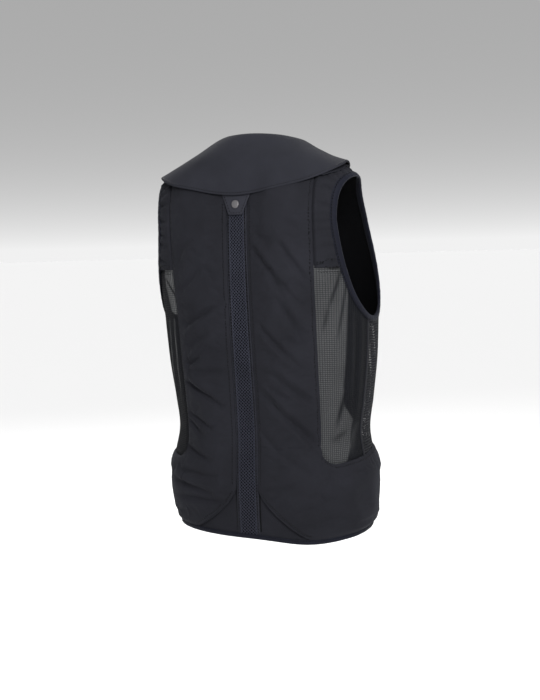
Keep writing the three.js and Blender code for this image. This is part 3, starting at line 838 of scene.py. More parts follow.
def back_skin(side):
    across = shares(SEAM_X_WAIST - panel_inner_x(TULIP_TOP), PANEL_STEP)
    band = shares(HIP_CORNER - HEM_TUCK, PANEL_STEP)
    upper = shares(PANEL_TOP - HIP_CORNER, PANEL_STEP, start=False)[1:]
    foot = tulip_edge(mix(panel_inner_x(TULIP_TOP), SEAM_X_WAIST, across))[:, None]
    top_rows = np.broadcast_to(mix(HIP_CORNER, PANEL_TOP, upper), (len(across), len(upper)))
    height = np.concatenate([mix(foot, HIP_CORNER, band[None]), top_rows], 1)
    angle = mix(angle_at_x(panel_inner_x(height), height), seam_angle(height), across[:, None])
    upright = pad_layer(side, angle, height)

    from_seam = seam_angle(HIP_CORNER)
    onward = shares((math.pi - from_seam) * MEAN_RADIUS, PANEL_STEP, start=False)[:, None]
    height = mix(HEM_TUCK, hip_top(mix(from_seam, math.pi, onward)), band[None])
    hip = pad_layer(side, mix(seam_angle(height), zip_angle(height), onward), height)
    return wall(upright, hip)


def back_rows():
    """Rows of stitches beside a back panel's seams and lower edge."""
    beside = STITCH_INSET / MEAN_RADIUS
    seam_up = np.arange(HIP_CORNER, SEAM_ROW_TOP, ROW_STEP)
    turns = np.arange(seam_angle(HIP_CORNER) + beside, math.pi - HIP_ROW_SHORT, ROW_TURN)
    low, high = TULIP_ROW_SHORT
    xs = np.arange(panel_inner_x(TULIP_TOP) + low, panel_inner_x(TULIP_TOP) + TULIP_SPREAD - high, 1.0)
    feet = tulip_edge(xs) + STITCH_INSET
    spine_up = np.arange(TULIP_TOP + SPINE_ROW_SHORT, SPINE_ROW_TOP, ROW_STEP)
    return [
        stitch_row(seam_angle(seam_up) - beside, seam_up),
        stitch_row(turns, hip_top(turns) - STITCH_INSET),
        stitch_row(angle_at_x(xs, feet), feet),
        stitch_row(angle_at_x(panel_inner_x(spine_up) + STITCH_INSET, spine_up), spine_up),
    ]


def back_panel(word, side):
    node = f"back_panel_{word}"
    skin = back_skin(side)
    piece = make_piece("cloth", node, skin, SOFTSHELL, side)
    press_out(piece, sewn_shares(skin[0]))
    stitches(node, piece, back_rows(), side)


# Lower layer under each back panel's curved edge.
HEM_PANEL_ROWS = 28
HEM_PANEL_THICK = 1.4
HEM_PANEL_LEVELS = (1.4, -0.6)
HEM_PANEL_SINKS = (HEM + 5, HEM + 18)
HEM_PANEL_RIPPLE = 0.35
HEM_PANEL_PITCH = 26


def hem_panel(word, side):
    across = shares(HEM_PANEL_REACH - panel_inner_x(HEM), PANEL_STEP)[:, None]
    x = mix(panel_inner_x(HEM), HEM_PANEL_REACH, across)
    rows = np.linspace(0, 1, HEM_PANEL_ROWS)[None]
    height = mix(HEM_TUCK, tulip_edge(x) + HEM_PANEL_UNDERLAP, rows)
    outer = mix(*HEM_PANEL_LEVELS, ease(unmix(*HEM_PANEL_SINKS, height)))
    outer = outer + HEM_PANEL_RIPPLE * ripple(height + x, HEM_PANEL_PITCH, side)
    skin = wall(layer(angle_at_x(x, height), height, outer, outer - HEM_PANEL_THICK))
    piece = make_piece("cloth", f"hem_panel_{word}", skin, SOFTSHELL, side)


# Shoulder panels.
SHOULDER_STEPS = {"wide": 62, "across": 1.9, "up": 2.2, "top_rows": 14}
SHOULDER_THICK = 3.4
SHOULDER_EDGE = 1.6
SHOULDER_TUCKED = -1.3
SHOULDER_LINING = 0.8
GATHER_RISE = {1: 5, -1: 4.6}
GATHER_PITCH = 13
GATHER_REACH = 20
GATHER_FROM_EDGE = (-1, 5)
SHOULDER_THICKENS = (-4, 6)
SHOULDER_EMERGES = (-0.5, 5)
DOUBLE_SEAM = (3.5, 7.5)
DOUBLE_SEAM_START = 0.02
ARMHOLE_POINTS = 700


def shoulder_levels(side, angle, height):
    """How far a shoulder panel's gathered cloth and its lining stand over the body."""
    base = torso(angle, height)
    turn = np.linspace(0, 2 * math.pi, ARMHOLE_POINTS)
    near, along = Seam(torso(*armhole_place(turn, ARM_TAPE))).near(base)
    seam_near, _ = BACK_SEAMS["seam"].near(base)
    past = np.where(angle < seam_angle(height), -seam_near, seam_near)
    beside = np.where(in_armhole(angle, height, ARM_TAPE), -near, near)
    thick = mix(SHOULDER_EDGE, SHOULDER_THICK, unmix(*SHOULDER_THICKENS, beside))
    level = mix(SHOULDER_TUCKED, thick, ease(unmix(*SHOULDER_EMERGES, past)))
    gather = GATHER_RISE[side] * np.exp(-near / GATHER_REACH) * ripple(along, GATHER_PITCH, side)
    level += gather * unmix(*GATHER_FROM_EDGE, beside)
    for row in DOUBLE_SEAM:
        level -= STITCH_SINK * bell((height - SHOULDER_SEAM - row) / STITCH_SINK_REACH)
    return level, np.minimum(level - SHOULDER_LINING, 0)


def seam_row(height, start):
    """A row of stitches at a height, from a turn past the back panel's seam to the armhole's tape."""
    turns = np.arange(seam_angle(height) + start, armhole_back(height, ARM_TAPE), SHORT_ROW_TURN)
    return stitch_row(turns, height)


def shoulder_panel(word, side):
    bend = ARM_TOP + ARM_TUCK
    up = shares(bend - SHOULDER_SEAM, SHOULDER_STEPS["up"], end=False)
    lower = mix(SHOULDER_SEAM, bend, np.sin(up * SIDE))
    upper = np.linspace(bend, SHOULDER_TOP, SHOULDER_STEPS["top_rows"])[1:]
    height = np.concatenate([lower, upper])[None]
    outer = np.minimum(armhole_back(height, ARM_TUCK), SIDE)
    across = shares(SHOULDER_STEPS["wide"], SHOULDER_STEPS["across"])[:, None]
    angle = mix(seam_angle(height) - TUCK_TURN, outer, across)
    height = np.broadcast_to(height, angle.shape)
    skin = wall(layer(angle, height, *shoulder_levels(side, angle, height)))
    node = f"shoulder_panel_{word}"
    piece = make_piece("cloth", node, skin, SOFTSHELL, side)
    rows = [seam_row(SHOULDER_SEAM + row, DOUBLE_SEAM_START) for row in DOUBLE_SEAM]
    row_piece = stitches(node, piece, rows, side)
    binding = armhole_binding(word, side)


# Side panels: a thin gauze with a grid of thicker threads.
WARP_PITCH = 3.7
WARP_FINE = 300
WEFT_PITCH = 3.2
GRID_MIDDLE = -330.0
GRID_WIDE = 0.9
GRID_THICK = 0.4
FLAT_BAR = np.array([(-0.5, -0.5), (0.5, -0.5), (0.5, 0.5), (-0.5, 0.5)])
GAUZE_THICK = 0.5
SIDE_LEVEL = 0.5
SIDE_EMERGES = (-0.5, 9)
SIDE_TUCKED = -0.9
SIDE_STITCH = 6
SIDE_STITCH_START = 0.03
SIDE_COLUMNS = 84
SIDE_ROWS = 150
GRID_LEVEL = 0.1

# Soft folds of the side panel, from one ring angle in degrees and height to another. The tone column paints
# the gauze darker along a crease, as painted shade, and paler where the tone is below nothing, as painted
# highlight.
SIDE_FOLD_COLUMNS = ("side", "from_angle", "from_height", "to_angle", "to_height", "half", "rise", "tone")
SIDE_FOLDS = (
    (-1, 62.7, -176, 56.2, -237, 2.8, -1.8, 0.85),
    (-1, 56.2, -237, 54, -272, 2.8, -1.4, 0.6),
    (-1, 66, -198, 61.5, -290, 2.6, -1.8, 0.8),
    (-1, 61, -190, 57, -255, 5, 1.6, 0),
    (-1, 65, -225, 62, -300, 5, 1.6, 0),
    (-1, 68.5, -372, 64.5, -428, 4, -2.2, 0.9),
    (-1, 70.2, -435, 60.5, -449, 4.5, -1.8, 0.5),
    (-1, 77.5, -424, 72, -472, 6, 1.6, -0.4),
    (-1, 70.8, -240, 72.5, -380, 3, 1.4, -0.1),
    (-1, 77, -250, 78, -410, 4, 1.6, -0.08),
    (-1, 74, -260, 75, -400, 4, -1.6, 0),
    (1, 56.5, -184, 46, -227, 2.3, -1.6, 0.95),
    (1, 49.8, -212, 46, -239, 1.8, -1.4, 0.85),
    (1, 50.5, -171, 47, -190, 1.8, -1.2, 0.6),
    (1, 59.5, -250, 67.5, -390, 1.7, 1.2, -0.7),
    (1, 54.2, -250, 60.5, -395, 1.7, 1.2, -0.75),
    (1, 50, -250, 54.5, -400, 1.7, 1.2, -0.7),
    (1, 66, -262, 68, -420, 8, 1.8, 0),
    (1, 76, -262, 76, -420, 9, -1.8, 0),
)
ANGLE_REACH = 2.7
SIDE_FOLD_ENDS = (0.2, 0.97)

# Where the gauze's painted light ends, by height and ring angle: short of it the gauze is painted pale, as
# light from a lit body seen through it, and beyond it darker, as painted shade of the vest's shaded inside.
LIT_THROUGH_EDGE = {
    -1: ((-500, 69), (-484, 69.2), (-458, 72.5), (-414, 75),
         (-393, 69), (-358, 66.8), (-229, 67), (-160, 67)),
    1: ((-500, 30), (-246, 30), (-243, 49), (-241, 52.8),
        (-236, 55.5), (-207, 56.9), (-190, 57.6), (-160, 57.5)),
}
LIT_THROUGH_BLUR = 0.8
LIT_THROUGH_TONE = {-1: 0.5, 1: 0.0}


def runs(kept):
    """(start, end) of each unbroken run of at least three kept places."""
    steps = np.flatnonzero(np.diff(np.concatenate([[0], kept.astype(int), [0]])))
    return [(a, b) for a, b in zip(steps[::2], steps[1::2]) if b - a > 2]


def armhole_meets(angle_at):
    """Height at which a line comes to the armhole's lower edge, or to the shoulder seam if that is lower."""
    heights = np.arange(ARM_FOOT - ARM_TUCK, SHOULDER_SEAM + TUCK, 0.5)
    inside = in_armhole(angle_at(heights), heights, ARM_TUCK)
    return np.where(inside.any(-1), heights[np.argmax(inside, -1)], SHOULDER_SEAM + TUCK)


def side_angle(share, height):
    return mix(seam_angle(height) - TUCK_TURN, NET_EDGE + TUCK_TURN, share)


def side_ends(share):
    """Foot and top of the side panel along a line at a share of its width."""
    top = armhole_meets(lambda heights: side_angle(share[:, None], heights))
    foot = np.full(share.shape, float(HIP_CORNER))
    for _ in range(3):
        foot = hip_top(np.maximum(side_angle(share, foot), seam_angle(HIP_CORNER))) - TUCK
    return foot, top


def side_folds(side, angle, height):
    """Rise of the side panel's soft folds, and their tone: painted shade along creases, painted highlight
    along ridges.
    """
    rise, tone = np.zeros(angle.shape), np.zeros(angle.shape)
    for row in SIDE_FOLDS:
        fold = dict(zip(SIDE_FOLD_COLUMNS, row))
        if fold["side"] != side:
            continue
        u, v = (angle / DEGREE - fold["from_angle"]) * ANGLE_REACH, height - fold["from_height"]
        run_u = (fold["to_angle"] - fold["from_angle"]) * ANGLE_REACH
        share, off_u, off_v = beside_run(u, v, run_u, fold["to_height"] - fold["from_height"])
        bump = bell(np.hypot(off_u, off_v) / fold["half"]) * np.sin(math.pi * mix(*SIDE_FOLD_ENDS, share))
        rise += fold["rise"] * bump
        tone += fold["tone"] * bump
    return rise, tone


def side_level(side, angle, height):
    """How the side panel lies: its soft folds, and its edges tucked under the panels."""
    level = SIDE_LEVEL + side_folds(side, angle, height)[0]
    edge = np.minimum((angle - seam_angle(height)) * MEAN_RADIUS, SHOULDER_SEAM - height)
    edge = np.minimum(edge, height - hip_top(np.maximum(angle, seam_angle(HIP_CORNER))))
    return mix(SIDE_TUCKED, level, ease(unmix(*SIDE_EMERGES, edge)))


# Painted light and shade on the gauze and its threads: pale where a lit body showed through, darker past that
# edge and in creases.
def painted_light_tone(side, angle, height):
    heights, angles = np.array(LIT_THROUGH_EDGE[side]).T
    past = angle / DEGREE - np.interp(height, heights, angles)
    dark = np.clip(ease(unmix(-LIT_THROUGH_BLUR, LIT_THROUGH_BLUR, past)) + side_folds(side, angle, height)[1], 0, 1)
    return mix(LIT_THROUGH_TONE[side], 1, dark)


def strand(angle, height, level):
    """A line with its side and up vectors, lying at a level over the body."""
    up = torso_normal(angle, height)
    centre = torso(angle, height) + up * np.broadcast_to(level, angle.shape)[:, None]
    return centre, unit(np.cross(np.gradient(centre, axis=0), up)), up


def warp_shares():
    """Shares of the side panel's width that its upright threads stand at, evenly spaced on the body."""
    fine = np.linspace(0, 1, WARP_FINE)
    along = lengths(torso(side_angle(fine, GRID_MIDDLE), GRID_MIDDLE))
    return np.interp(np.linspace(0, along[-1], round(along[-1] / WARP_PITCH)), along, fine)


def side_grid():
    """Places along each thread of the grid, as (angle, height) lines."""
    share = warp_shares()
    foot, top = side_ends(share)
    lines = []
    for place, low, high in zip(share, foot, top):
        height = np.linspace(low, high, max(3, round((high - low) / WEFT_PITCH)))
        lines.append((side_angle(place, height), height))
    fine = np.linspace(0, 1, 2 * len(share))
    foot, top = side_ends(fine)
    for level in np.arange(HIP_TOP_BACK, SHOULDER_SEAM + TUCK, WEFT_PITCH):
        for start, end in runs((foot < level) & (level < top)):
            height = np.full(end - start, level)
            lines.append((side_angle(fine[start:end], height), height))
    return lines


def side_panel(word, side):
    share = np.linspace(0, 1, SIDE_COLUMNS)
    foot, top = side_ends(share)
    height = mix(foot[:, None], top[:, None], np.linspace(0, 1, SIDE_ROWS)[None])
    angle = side_angle(share[:, None], height)
    level = side_level(side, angle, height)
    gauze = layer(angle, height, level, level - GAUZE_THICK)
    _, first = np.unique(np.round(gauze["base"].reshape(-1, 3) / WELD), axis=0, return_index=True)
    # tone carries painted light and shade: pale where a lit body showed through, dark past it, in creases and
    # all over the inner side.
    tone = painted_light_tone(side, angle, height).ravel()[first]
    node = f"side_mesh_{word}"
    tone = np.concatenate([tone, np.ones(len(tone))])
    piece = make_piece("cloth", node, wall(gauze), SIDE_GAUZE, side, tone)
    lines = side_grid()
    bars = FLAT_BAR * (GRID_WIDE, GRID_THICK)
    net = sweep([strand(a, h, side_level(side, a, h) + GRID_LEVEL) for a, h in lines], bars)
    tone = np.concatenate([np.repeat(painted_light_tone(side, a, h), len(FLAT_BAR)) for a, h in lines])
    threads = make_piece("threads", node, net, SIDE_THREAD, side, tone)
    seam = seam_row(SHOULDER_SEAM - SIDE_STITCH, SIDE_STITCH_START)
    row = stitches(node, piece, [seam], side)


# Front panels: a net with a dark ground behind it, which leaves the right side's net open as far as an angle.
# The ground's near-black colour is painted shade of the vest's shaded inside.
FRONT_PITCH = 3.2
FRONT_PERIOD = 4.4
FRONT_STRAND = 4.4
FRONT_NECK = 0.15
FRONT_STRAND_THICK = 0.5
FRONT_STEP = 0.12
FRONT_LEVEL = 0.6
FRONT_TUCKED = -0.9
FRONT_EMERGES = (-1, 6)
FRONT_TOP_SHORT = 4
FRONT_GROUND = (0.75, 0.35)
FRONT_ROWS = {"below": 60, "beside": 60, "above": 20}
FRONT_COLUMNS = 60
FRONT_OPEN = {-1: 142 * DEGREE, 1: NET_EDGE}
FRONT_CLOSE = {-1: (ARM_FOOT - 24, ARM_FOOT - 14), 1: (ARM_FOOT - 8, ARM_FOOT - 2)}
FRONT_HEM = 6
FRONT_HEM_THICK = 0.9
FRONT_HEM_STEP = 3.0
FRONT_HEM_SECTION = np.array([(-0.5, -0.5), (0, -0.7), (0.5, -0.5), (0.3, 0.3), (0, 0.5), (-0.3, 0.3)])
FRONT_SEAM_LEVEL = 1.3
FRONT_ZIP_LEVEL = 1.8


def front_outer(height):
    """The front panel's edge at the side seam, the armhole and the shoulder."""
    armhole = armhole_front(height, ARM_TUCK)
    beside = np.where(height < ARM_WIDEST, np.maximum(FRONT_SEAM, armhole), armhole)
    return np.where(height > ARM_TOP + ARM_TUCK, SIDE, beside)


def ground_edge(side, height):
    """Where the dark ground begins: where the open net ends, and higher up along the armhole."""
    return mix(FRONT_OPEN[side], front_outer(height), ease(unmix(*FRONT_CLOSE[side], height)))


def front_level(angle, height):
    """How the front panel lies, with its foot tucked under the hip band."""
    return mix(FRONT_TUCKED, FRONT_LEVEL, ease(unmix(*FRONT_EMERGES, height - hip_top(angle))))


def front_strands():
    """Flat strands that are wide and narrow by turns, with a hole between each two narrow places."""
    height = np.arange(HIP_TOP_BACK, PANEL_TOP - FRONT_TOP_SHORT, FRONT_PERIOD / 2)
    width = np.where(np.arange(len(height)) % 2, 1, FRONT_NECK)[:, None]
    wide = mix(NET_EDGE, SIDE, ease(unmix(ARM_FOOT, ARM_TOP, height)))
    inner = zip_angle(height)
    count = round((math.pi - NET_EDGE) * MEAN_RADIUS / FRONT_PITCH)
    lines = []
    for place in range(count + 1):
        angle = mix(wide, inner, place / count)
        inside = (height > hip_top(angle) - TUCK) & ~in_armhole(angle, height, ARM_TUCK)
        for start, end in runs(inside):
            a, h = angle[start:end], height[start:end]
            centre, beside, up = strand(a, h, front_level(a, h) + FRONT_STEP * (place % 2))
            lines.append((centre, beside * width[start:end], up))
    return sweep(lines, FLAT_BAR * (FRONT_STRAND, FRONT_STRAND_THICK))


def front_hems():
    """The front panel's folded seam edges: beside the side net, and beside the zip."""
    side_top = armhole_meets(lambda heights: np.full(heights.shape, NET_EDGE))
    side_height = np.arange(hip_top(NET_EDGE) - TUCK, side_top, FRONT_HEM_STEP)
    zip_height = np.arange(hip_top(math.pi) - TUCK, PANEL_TOP, FRONT_HEM_STEP)
    side_line = strand(np.full(side_height.shape, NET_EDGE), side_height, FRONT_SEAM_LEVEL)
    beside_zip = zip_angle(zip_height, ZIP_HALF + SEAM_GAP + FRONT_HEM / 2)
    zip_line = strand(beside_zip, zip_height, FRONT_ZIP_LEVEL)
    return sweep([side_line, zip_line], FRONT_HEM_SECTION * (FRONT_HEM, FRONT_HEM_THICK))


def front_ground(side):
    bend = ARM_TOP + ARM_TUCK
    below = np.linspace(HIP_TOP_BACK, ARM_FOOT, FRONT_ROWS["below"])[:-1]
    beside = mix(ARM_FOOT, bend, np.sin(np.linspace(0, 1, FRONT_ROWS["beside"]) * SIDE))
    above_it = np.linspace(bend, PANEL_TOP, FRONT_ROWS["above"])[1:]
    height = np.concatenate([below, beside, above_it])[None]
    across = np.linspace(0, 1, FRONT_COLUMNS)[:, None]
    angle = mix(ground_edge(side, height), zip_angle(height), across)
    height = np.maximum(np.broadcast_to(height, angle.shape), hip_top(angle) - TUCK)
    sunk = front_level(angle, height) - FRONT_LEVEL
    return wall(layer(angle, height, *(level + sunk for level in FRONT_GROUND)))


def front_panel(word, side):
    node = f"front_panel_{word}"
    ground = front_ground(side)
    # The ground takes the net's near-black second colour: painted shade.
    piece = make_piece("cloth", node, ground, FRONT_NET, side, np.ones(len(ground[0])))
    net = join(front_strands(), front_hems())
    threads = make_piece("threads", node, net, FRONT_NET, side, np.zeros(len(net[0])))


# Net strip down the spine, with a flat tape along each side.
SPINE_PITCH = 2.8
SPINE_PERIOD = 5.4
SPINE_STRAND = 1.25
SPINE_STRAND_THICK = 0.9
SPINE_LEVEL = 1.6
SPINE_HEM_LEVEL = 1.2
SPINE_GAP = 0.2
SPINE_GROUND = (0.1, -0.8)
SPINE_UNDERLAP = 2
SPINE_COLUMNS = 15
GROUND_STEP = 4.0
BORDER_STEPS = (0.7, 3.0)
BORDER_LEVEL = 1.9
BORDER_HEM_LEVEL = 1.5
BORDER_FOOT = 0.2
BORDER_LAP = 0.9
BORDER_EDGE = 0.6
BORDER_ROUND = 1.2
BORDER_STITCH = 1.7
HEM_PRESSED = (HEM + 6, HEM + 14)


def spine_net():
    """A lattice of strands that lean to and fro, each opposite to the next."""
    height = np.arange(HEM_TUCK, PANEL_TOP, SPINE_PERIOD / 2)
    half = strip_half(height)
    count = round(2 * STRIP_HALF_FOOT / SPINE_PITCH)
    level = mix(SPINE_HEM_LEVEL, SPINE_LEVEL, unmix(*HEM_PRESSED, height))
    lines = []
    for place in range(count + 1):
        lean = 1 - 2 * ((np.arange(len(height)) + place) % 2)
        x = mix(-half, half, place / count) + (half / count - SPINE_GAP) * lean
        x = np.clip(x, -half, half)
        lines.append(strand(on_back(x, height), height, level))
    return sweep(lines, FLAT_BAR * (SPINE_STRAND, SPINE_STRAND_THICK))


def spine_strip():
    net = spine_net()
    rows = np.arange(HEM_TUCK, PANEL_TOP, GROUND_STEP)[None]
    reach = angle_at_x(panel_inner_x(rows) + SPINE_UNDERLAP, rows)
    angle = mix(-reach, reach, np.linspace(0, 1, SPINE_COLUMNS)[:, None])
    # The ground under the lattice takes the near-black second colour: painted shade in the net's holes.
    ground = wall(layer(angle, rows, *SPINE_GROUND))
    node = "spine_mesh"
    piece = make_piece("cloth", node, ground, SPINE_NET, tone=np.ones(len(ground[0])))
    threads = make_piece("threads", node, net, SPINE_NET, tone=np.zeros(len(net[0])))
    borders = [border for word, side in SIDES for border in spine_border(word, side)]


def spine_border(word, side):
    across, up = BORDER_STEPS
    rows = np.arange(HEM_TUCK, PANEL_TOP, up)[None]
    wide = BORDER_WIDTH + BORDER_LAP
    x = strip_half(rows) + wide * shares(wide, across)[:, None]
    from_edge = np.minimum(x - strip_half(rows), strip_half(rows) + wide - x)
    crown = BORDER_LEVEL * mix(BORDER_EDGE, 1, rounded(from_edge, BORDER_ROUND))
    crown = np.minimum(crown, mix(BORDER_HEM_LEVEL, BORDER_LEVEL, unmix(*HEM_PRESSED, rows)))
    skin = wall(layer(angle_at_x(x, rows), rows, crown, BORDER_FOOT))
    node = f"spine_border_{word}"
    piece = make_piece("cloth", node, skin, BORDER_TAPE, side)
    heights = np.arange(HEM + HEM_TAPE + 2, SPINE_ROW_TOP, ROW_STEP)
    row = stitch_row(angle_at_x(strip_half(heights) + BORDER_STITCH, heights), heights)
    return [piece, stitches(node, piece, [row], side)]


# Tapes folded over an edge: the section goes round the outside of the fold, then back along its inside.
TAPE_RIPPLE = 0.22
TAPE_PITCH = 13
TAPE_STITCH = 2
TAPE_OUTER_LEG = 2
TAPE_ROW_LEVEL = 3.2
ARM_TAPE_RADIUS = 110
ARM_TAPE_RINGS = 320
HEM_TAPE_RINGS = 440
HEM_TAPE_PHASE = 0.4


def tape_section(width):
    outside = [(width, 2.6), (width - 0.3, 3.0), (0.6 * width, 3.4), (2.2, 3.3), (0.8, 2.6), (0, 1.4),
               (0.2, 0.3), (1, -0.6), (2.4, -1.1), (width - 0.3, -1.3), (width, -1.0)]
    inside = [(width, -0.7), (2.6, -0.5), (1.3, 0.4), (1, 1.3), (1.7, 2.1), (0.6 * width, 2.7),
              (width - 0.3, 2.3)]
    return np.array(outside + inside)


def tape_rings(place, section, along, phase):
    """Rings of a folded tape along its edge, and the cloth's own coordinates on them."""
    inset, level = section.T[:, None]
    rippled = level + TAPE_RIPPLE * ripple(along, TAPE_PITCH, phase) * (level > TAPE_OUTER_LEG)
    return above(*place(inset), rippled), paired(inset, along)


def armhole_binding(word, side):
    turn = np.linspace(0, 2 * math.pi, ARM_TAPE_RINGS, endpoint=False)[:, None]
    rings, cloth = tape_rings(lambda inset: armhole_place(turn, inset), tape_section(ARM_TAPE),
                              turn * ARM_TAPE_RADIUS, side)
    node = f"armhole_binding_{word}"
    piece = make_piece("cloth", node, tube(rings, cloth, True), BINDING_TAPE, side)
    around = np.linspace(0, 2 * math.pi, ROW_POINTS)
    angle, height = armhole_place(around, ARM_TAPE - TAPE_STITCH)
    stitches(node, piece, [above(angle, height, np.full(angle.shape, TAPE_ROW_LEVEL))], side)
    return piece


def hem_binding():
    end = zip_angle(HEM + HEM_TAPE)
    turn = np.linspace(-end, end, HEM_TAPE_RINGS)[:, None]
    rings, cloth = tape_rings(lambda inset: np.broadcast_arrays(turn, HEM + inset), tape_section(HEM_TAPE),
                              turn * MEAN_RADIUS, HEM_TAPE_PHASE)
    skin = tube(rings[:, ::-1], cloth[:, ::-1], False)
    piece = make_piece("cloth", "hem_binding", skin, BINDING_TAPE)
    angle, height = np.broadcast_arrays(turn[:, 0], HEM + HEM_TAPE - TAPE_STITCH)
    row = above(angle, height, np.full(angle.shape, TAPE_ROW_LEVEL))
    stitches("hem_binding", piece, [row])


# Zip: a flat tape with a coil of teeth along its middle.
TOOTH_PITCH = 1.8
TOOTH_REACH = (-1.2, 2.6)
TOOTH_SECTION = (1.1, 1.5)
TOOTH_LEVEL = 0.8
TOOTH_POINTS = 4
ZIP_LAP = 5
ZIP_COLUMNS = 13
ZIP_LEVELS = (-0.15, -0.9)


def front_zip():
    rows = np.arange(HEM, PANEL_TOP, GROUND_STEP)[None]
    reach = math.pi - zip_angle(rows, ZIP_HALF + ZIP_LAP)
    angle = math.pi + mix(-reach, reach, np.linspace(0, 1, ZIP_COLUMNS)[:, None])
    tape = wall(layer(angle, rows, *ZIP_LEVELS))
    teeth = []
    for place, height in enumerate(np.arange(HEM + 1, PANEL_TOP - 2, TOOTH_PITCH)):
        x = np.linspace(*TOOTH_REACH, TOOTH_POINTS) * (1 if place % 2 else -1)
        turn = math.pi - zip_angle(height, np.abs(x))
        teeth.append(strand(math.pi + np.sign(x) * turn, np.full(TOOTH_POINTS, height), TOOTH_LEVEL))
    skin = join(tape, sweep(teeth, FLAT_BAR * TOOTH_SECTION))
    make_piece("cloth", "front_zip", skin, ZIP_TAPE)


# Collar: its section at one angle runs from the foot of the stand over the fold to the free edge.
COLLAR_STEP = 0.004
COLLAR_LONG = 170
COLLAR_WIDE = 900
COLLAR_RADIUS = 110
COLLAR_END_RADIUS = 70
COLLAR_STEPS = (4, 3)
COLLAR_ROUND = 2.2
COLLAR_EDGE_DROP = 0.9
COLLAR_STITCH = 3.6
COLLAR_WAVE = 0.7
COLLAR_WAVE_PITCH = 60
COLLAR_WAVE_LEAN = 0.4
COLLAR_WAVE_SHARES = (0.5, 0.75)
COLLAR_ROW_SHORT = 0.05
SHORT_AT = -87 * DEGREE
SHORT_SPREAD = 14 * DEGREE
SHORT_BY = 8
LIP_TURNS = (-97 * DEGREE, -62 * DEGREE)
LIP_FROM_SHARE = 0.72
LIP_CLEAR = 5.2
LIP_LIFT = 4
LEFT_TURNS = (6 * DEGREE, 68 * DEGREE)
LEFT_LIFT = 5
EDGE_LIFTS = ((LIP_TURNS, LIP_LIFT), (LEFT_TURNS, LEFT_LIFT))
LIP_THICK = 1.2
LIP_GRID = (40, 14)


def collar_edge(angle):
    turn = np.abs(angle) / DEGREE
    place = np.clip(np.searchsorted(COLLAR_EDGE_ANGLE, turn, side="right") - 1, 0, len(COLLAR_EDGE_ANGLE) - 2)
    angles, heights = np.array(COLLAR_EDGE_ANGLE), np.array(COLLAR_EDGE_HEIGHT)
    share = ease(unmix(angles[place], angles[place + 1], turn))
    short = SHORT_BY * bell((angle - SHORT_AT) / SHORT_SPREAD)
    return mix(heights[place], heights[place + 1], share) + short


def collar_controls(angle):
    neck = torso(angle, NECK)
    out = unit(neck * (1, 1, 0))
    rise = mix(COLLAR_FOLD_RISE_BACK, COLLAR_FOLD_RISE_FRONT, unmix(SIDE, COLLAR_END, np.abs(angle)))
    fold = neck - out * COLLAR_FOLD_IN + rise[..., None] * (0, 0, 1)
    lift = sum(high * np.sin(math.pi * unmix(*turns, angle)) for turns, high in EDGE_LIFTS)
    fall = [above(angle, mix(NECK, collar_edge(angle), share), clear + lift * share ** 3)
            for share, clear in zip(COLLAR_FALL_SHARE, COLLAR_FALL_CLEAR)]
    stand = [above(angle, height, COLLAR_STAND_INSET) for height in (COLLAR_STAND_FOOT, NECK)]
    return np.stack([*stand, fold, *fall], -2)


def through(controls, share):
    """A point on the smooth curve through the controls, spaced by the root of their distances."""
    first = 2 * controls[..., :1, :] - controls[..., 1:2, :]
    last = 2 * controls[..., -1:, :] - controls[..., -2:-1, :]
    points = np.concatenate([first, controls, last], -2)
    knots = np.cumsum(np.linalg.norm(np.diff(points, axis=-2), axis=-1) ** 0.5, -1)
    knots = np.concatenate([0 * knots[..., :1], knots], -1)
    spans = controls.shape[-2] - 1
    row = np.minimum((share * spans).astype(int), spans - 1)
    p = [np.take_along_axis(points, (row + k)[..., None, None], -2)[..., 0, :] for k in range(4)]
    t = [np.take_along_axis(knots, (row + k)[..., None], -1) for k in range(4)]
    at = t[1] + (t[2] - t[1]) * (share * spans - row)[..., None]

    def between(a, b, from_knot, to_knot):
        return ((to_knot - at) * a + (at - from_knot) * b) / (to_knot - from_knot)

    low = [between(p[k], p[k + 1], t[k], t[k + 1]) for k in range(3)]
    middle = [between(low[k], low[k + 1], t[k], t[k + 2]) for k in range(2)]
    return between(middle[0], middle[1], t[1], t[2])


def collar_surface(angle, share):
    return through(collar_controls(angle), np.clip(share, 0, 1))


def collar_normal(angle, share):
    across = collar_surface(angle + COLLAR_STEP, share) - collar_surface(angle - COLLAR_STEP, share)
    down = collar_surface(angle, share + COLLAR_STEP) - collar_surface(angle, share - COLLAR_STEP)
    return unit(np.cross(across, down))


def collar_skin():
    across, down = COLLAR_STEPS
    turns = mix(-COLLAR_END, COLLAR_END, shares(COLLAR_WIDE, across))[:, None]
    turns, along = np.broadcast_arrays(turns, shares(COLLAR_LONG, down)[::-1][None])
    base = collar_surface(turns, along)
    normal = collar_normal(turns, along)
    from_edge = (1 - along) * COLLAR_LONG
    away = np.minimum(from_edge, (COLLAR_END - np.abs(turns)) * COLLAR_END_RADIUS)
    half = COLLAR_THICK / 2 * rounded(away, COLLAR_ROUND, COLLAR_EDGE_DROP)
    wave = ripple(turns * COLLAR_RADIUS + from_edge * COLLAR_WAVE_LEAN, COLLAR_WAVE_PITCH, 1)
    wave = COLLAR_WAVE * wave * unmix(*COLLAR_WAVE_SHARES, along)
    skins = (base + normal * level[..., None] for level in (wave + half, wave - half))
    return wall(patch(base, *skins, paired(turns * COLLAR_RADIUS, along * COLLAR_LONG)))


